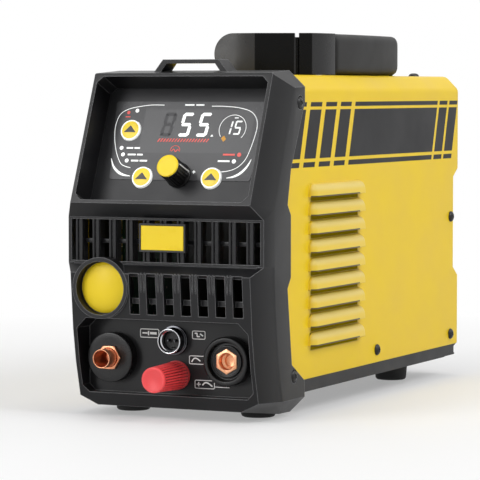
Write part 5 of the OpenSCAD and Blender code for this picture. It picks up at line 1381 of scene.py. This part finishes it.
guard = {"rings": 5, "first": 14.0, "step": 10.0, "wire": 0.92, "height": 0.95, "eye": 3.0, "seat": 299.7,
    "reach": 52.5 * math.sqrt(2), "spokes": (45, 135, 225, 315)}


def makeGuard():
    g = guard
    wire, height, reach = g["wire"], g["height"], g["reach"]
    eye = [(height + wire * math.sin(a), g["eye"] + wire * math.cos(a)) for a in spread(8)]
    bm = bmesh.new()
    for degrees in g["spokes"]:
        turnIt = aboutZ(degrees)
        addRings(bm, [[turnIt @ Vector((r, math.cos(a) * wire, height + math.sin(a) * wire)) for a in spread(10)]
            for r in (13.4, 30, 50, reach - 2.6)])
        turned(bm, eye, turnIt @ at(reach, 0, 0), 24)
    wires = makeObject("fanGuard", outward(bm))
    applyTree(wires, trees["wireRings"], {"Count": g["rings"], "First": g["first"], "Step": g["step"], "Wire": wire,
        "Height": height, "Material": mats["steel"]})
    wires.data.transform(at(0, g["seat"], fan["z"], backward))
    finishPiece(wires, "steel", ["fan_guard"], angle=60)


panel = 298.0
gland = {"at": (4, panel, 46), "flats": 24, "dome": 23.4, "threads": 9, "pitch": 0.9, "start": [(-9, 6), (-9, 9.7)],
    "neck": [(0, 9.9), (6, 9.9), (6.2, 10.4), (12.2, 10.4), (12.2, 6)],
    "crown": [(21.2, 11.2), (22.6, 10.9), (24.0, 9.9), (24.8, 8.6), (25.0, 7.2), (24.6, 6.2), (23.6, 6.05)]}
inlet = {"at": (-46.2, panel, 41.7), "flats": 19, "threads": 13, "pitch": 1.25,
    "start": [(-12, 3.5), (-12, 6.3), (-11.6, 6.6), (9.4, 6.6)],
    "end": [(26.4, 6.3), (27, 5.6), (27, 4.4), (26.4, 3.5)]}


def threadRows(start, count, pitch, gap, low, high):
    return [row for k in range(count) for row in ((start + k * pitch, low), (start + gap + k * pitch, high))]


def makeGland():
    # nut against the panel, threaded body and ribbed dome nut
    g = gland
    nuts = [hexRows(1.65, 6.0, g["flats"], 6.1, 1.0), hexRows(-5.15, -seatGap, g["flats"], 10.1, 0.8)]
    body = g["start"] + threadRows(-8.6, g["threads"], g["pitch"], 0.45, 9.6, 10.0) + g["neck"]
    flats, start, end = [hexRadius(g["dome"], corner) for corner in (99, 12.6, 12.2)]
    dome = [(12.1, 6.05), (12.1, 11.5), (12.8, start), (14, flats), (19.6, flats), (20.6, end)] + g["crown"]
    bm = bmesh.new()
    for rows, segs in ((nuts[0], 96), (body, 64), (nuts[1], 96), (dome, 96)):
        turned(bm, rows, at(*g["at"], backward), segs)
    addPiece("cableGland", bm, "black_plastic", ["cable_gland"], 0.0005, angle=32)


def makeInlet():
    # two nuts and a threaded stub
    g = inlet
    stub = g["start"] + threadRows(10.0, g["threads"], g["pitch"], 0.6, 6.0, 6.6) + g["end"]
    nuts = [hexRows(low, high, g["flats"], 6.7) for low, high in ((1.65, 9.0), (-6.15, -seatGap))]
    bm = bmesh.new()
    for rows, segs in ((nuts[0], 96), (nuts[1], 96), (stub, 64)):
        turned(bm, rows, at(*g["at"], backward), segs)
    addPiece("airInlet", bm, "brass", ["air_inlet"], 0.0005, angle=32)


rocker = {"at": (44, 297, 52), "tilt": 12, "halfway": 8.5, "out": 5.55, "slope": math.atan2(2.2, 15.6),
    "bar": (-0.5, -2.6, 0.5, 2.6), "ring": (2.3, 0.9), "low": -0.1, "high": 0.09}


def makeRockerMarks():
    # the marks sit on the two sloping halves of the key
    r = rocker
    place = at(*r["at"], backward) @ Matrix.Rotation(math.radians(r["tilt"]), 4, "X")
    up, down = [place @ at(0, way * r["halfway"], r["out"], Matrix.Rotation(r["slope"] * way, 4, "X"))
        for way in (1, -1)]
    bm = bmesh.new()
    solidPlate(bm, box2d(*r["bar"]), r["low"], r["high"], up)
    hoop(bm, *r["ring"], r["low"], r["high"], down, 32)
    addPiece("rockerMarks", bm, "red_plastic", body="rocker", mat="white_print")


makeFan()
bevelledCopy("fanHousing", "fan_frame", "black_plastic", 0.4)
makeGuard()
bevelledCopy("switchHousing", "power_switch", "black_plastic", 0.5, 3)
bevelledCopy("switchRocker", "power_rocker", "red_plastic", 0.5, 3, body="rocker")
makeGland()
makeInlet()
makeRockerMarks()
print("rear in place")


# ---- inside ----

choke = {"at": (55.2, 36.0, 125.0), "turns": 30, "wire": 1.25, "half": 8.95, "inner": 12.2, "outer": 23.6,
    "corner": 3.0}


def makeChoke():
    # copper wire wound round the choke's core
    c = choke
    path = fillet(box2d(c["inner"], -c["half"], c["outer"], c["half"]), c["corner"], 4, True)
    across = Vector((0, 1, 0))
    bm = bmesh.new()
    rings = []
    for i, p in enumerate(path):
        way = (path[(i + 1) % len(path)] - path[i - 1]).normalized()
        side, centre = Vector((way.y, 0, -way.x)), Vector((p.x, 0, p.y))
        rings.append([bm.verts.new(centre + (side * math.cos(a) + across * math.sin(a)) * c["wire"])
            for a in spread(8)])
    bridge(bm, rings + [rings[0]], False)
    wound = makeObject("chokeWire", outward(bm))
    applyTree(wound, trees["ringOf"], {"Count": c["turns"], "Material": mats["copper"]})
    wound.data.transform(at(*c["at"], sideward))
    finishPiece(wound, "copper", ["choke_winding"], angle=60)


makeChoke()


# ---- finishes of the carried-over solids ----

def dressSolids():
    slots = {row["node"]: row["material_slot"] for row in frame["record"]["subparts"]}
    for node, obj in nodes.items():
        mat = mats[slots[node]]
        if not obj.data.materials:
            obj.data.materials.append(mat)
        for i in range(len(obj.material_slots)):
            obj.material_slots[i].material = mat


dressSolids()
print("solids dressed")


# ---- floor, light and background ----

studio = {"floor": 6, "floorColor": (0.86, 0.86, 0.86, 1), "floorRough": 0.6, "floorShine": 0.2, "white": (1, 1, 1, 1),
    "sky": 0.15, "fade": (0.35, 1.0, 0.2, 0.75), "aim": (0, 0, 0.12),
    "lamps": {"key": ((2.2, -0.35, 2.15), 43, 1.4), "fill": ((-1.3, -2.3, 1.65), 30, 1.3),
        "front": ((-1.35, -2.65, 0.42), 9, 0.6), "rim": ((1.9, 1.9, 1.9), 6, 1.0),
        "overhead": ((-0.1, 0.0, 2.4), 22, 1.6)}}


def seenDirectly(tree):
    # 1 for what the camera sees straight, in a reflection or through clear material
    seen = addNode(tree, "ShaderNodeLightPath").outputs
    rays = calc(tree, "MAXIMUM", seen["Is Camera Ray"], seen["Is Glossy Ray"])
    return calc(tree, "MAXIMUM", rays, seen["Is Transmission Ray"])


def makeFloor():
    s, half = studio, studio["floor"]
    mesh = bpy.data.meshes.new("floor")
    mesh.from_pydata([(x, y, 0) for x, y in box2d(-half, -half, half, half)], [], [(0, 1, 2, 3)])
    floor = bpy.data.objects.new("floor", mesh)
    scene.collection.objects.link(floor)
    mat = bpy.data.materials.new("floor")
    mat.use_nodes = True
    tree = mat.node_tree
    shader = tree.nodes["Principled BSDF"]
    shader.inputs["Base Color"].default_value = s["floorColor"]
    shader.inputs["Roughness"].default_value = s["floorRough"]
    shader.inputs["Specular IOR Level"].default_value = s["floorShine"]
    away = vectorCalc(tree, "LENGTH", "Value", addNode(tree, "ShaderNodeTexCoord").outputs["Object"])
    fade = product(tree, seenDirectly(tree), ramp(tree, away, *s["fade"]))
    glow = addNode(tree, "ShaderNodeEmission", {"Color": s["white"], "Strength": 1.0}).outputs[0]
    blend = addNode(tree, "ShaderNodeMixShader", {0: fade, 1: shader.outputs[0], 2: glow}).outputs[0]
    tree.links.new(blend, tree.nodes["Material Output"].inputs["Surface"])
    mesh.materials.append(mat)


def makeLights():
    for name, (place, power, size) in studio["lamps"].items():
        data = bpy.data.lights.new(name, "AREA")
        data.energy = power
        data.size = size
        lamp = bpy.data.objects.new(name, data)
        lamp.location = place
        lamp.rotation_euler = (Vector(studio["aim"]) - Vector(place)).to_track_quat("-Z", "Y").to_euler()
        scene.collection.objects.link(lamp)
    world = bpy.data.worlds.new("studio")
    scene.world = world
    world.use_nodes = True
    tree = world.node_tree
    lit = tree.nodes["Background"]
    lit.inputs["Color"].default_value = studio["white"]
    lit.inputs["Strength"].default_value = studio["sky"]
    white = addNode(tree, "ShaderNodeBackground", {"Color": studio["white"], "Strength": 1.0}).outputs[0]
    blend = addNode(tree, "ShaderNodeMixShader", {0: seenDirectly(tree), 1: lit.outputs[0], 2: white}).outputs[0]
    tree.links.new(blend, tree.nodes["World Output"].inputs["Surface"])


makeFloor()
makeLights()
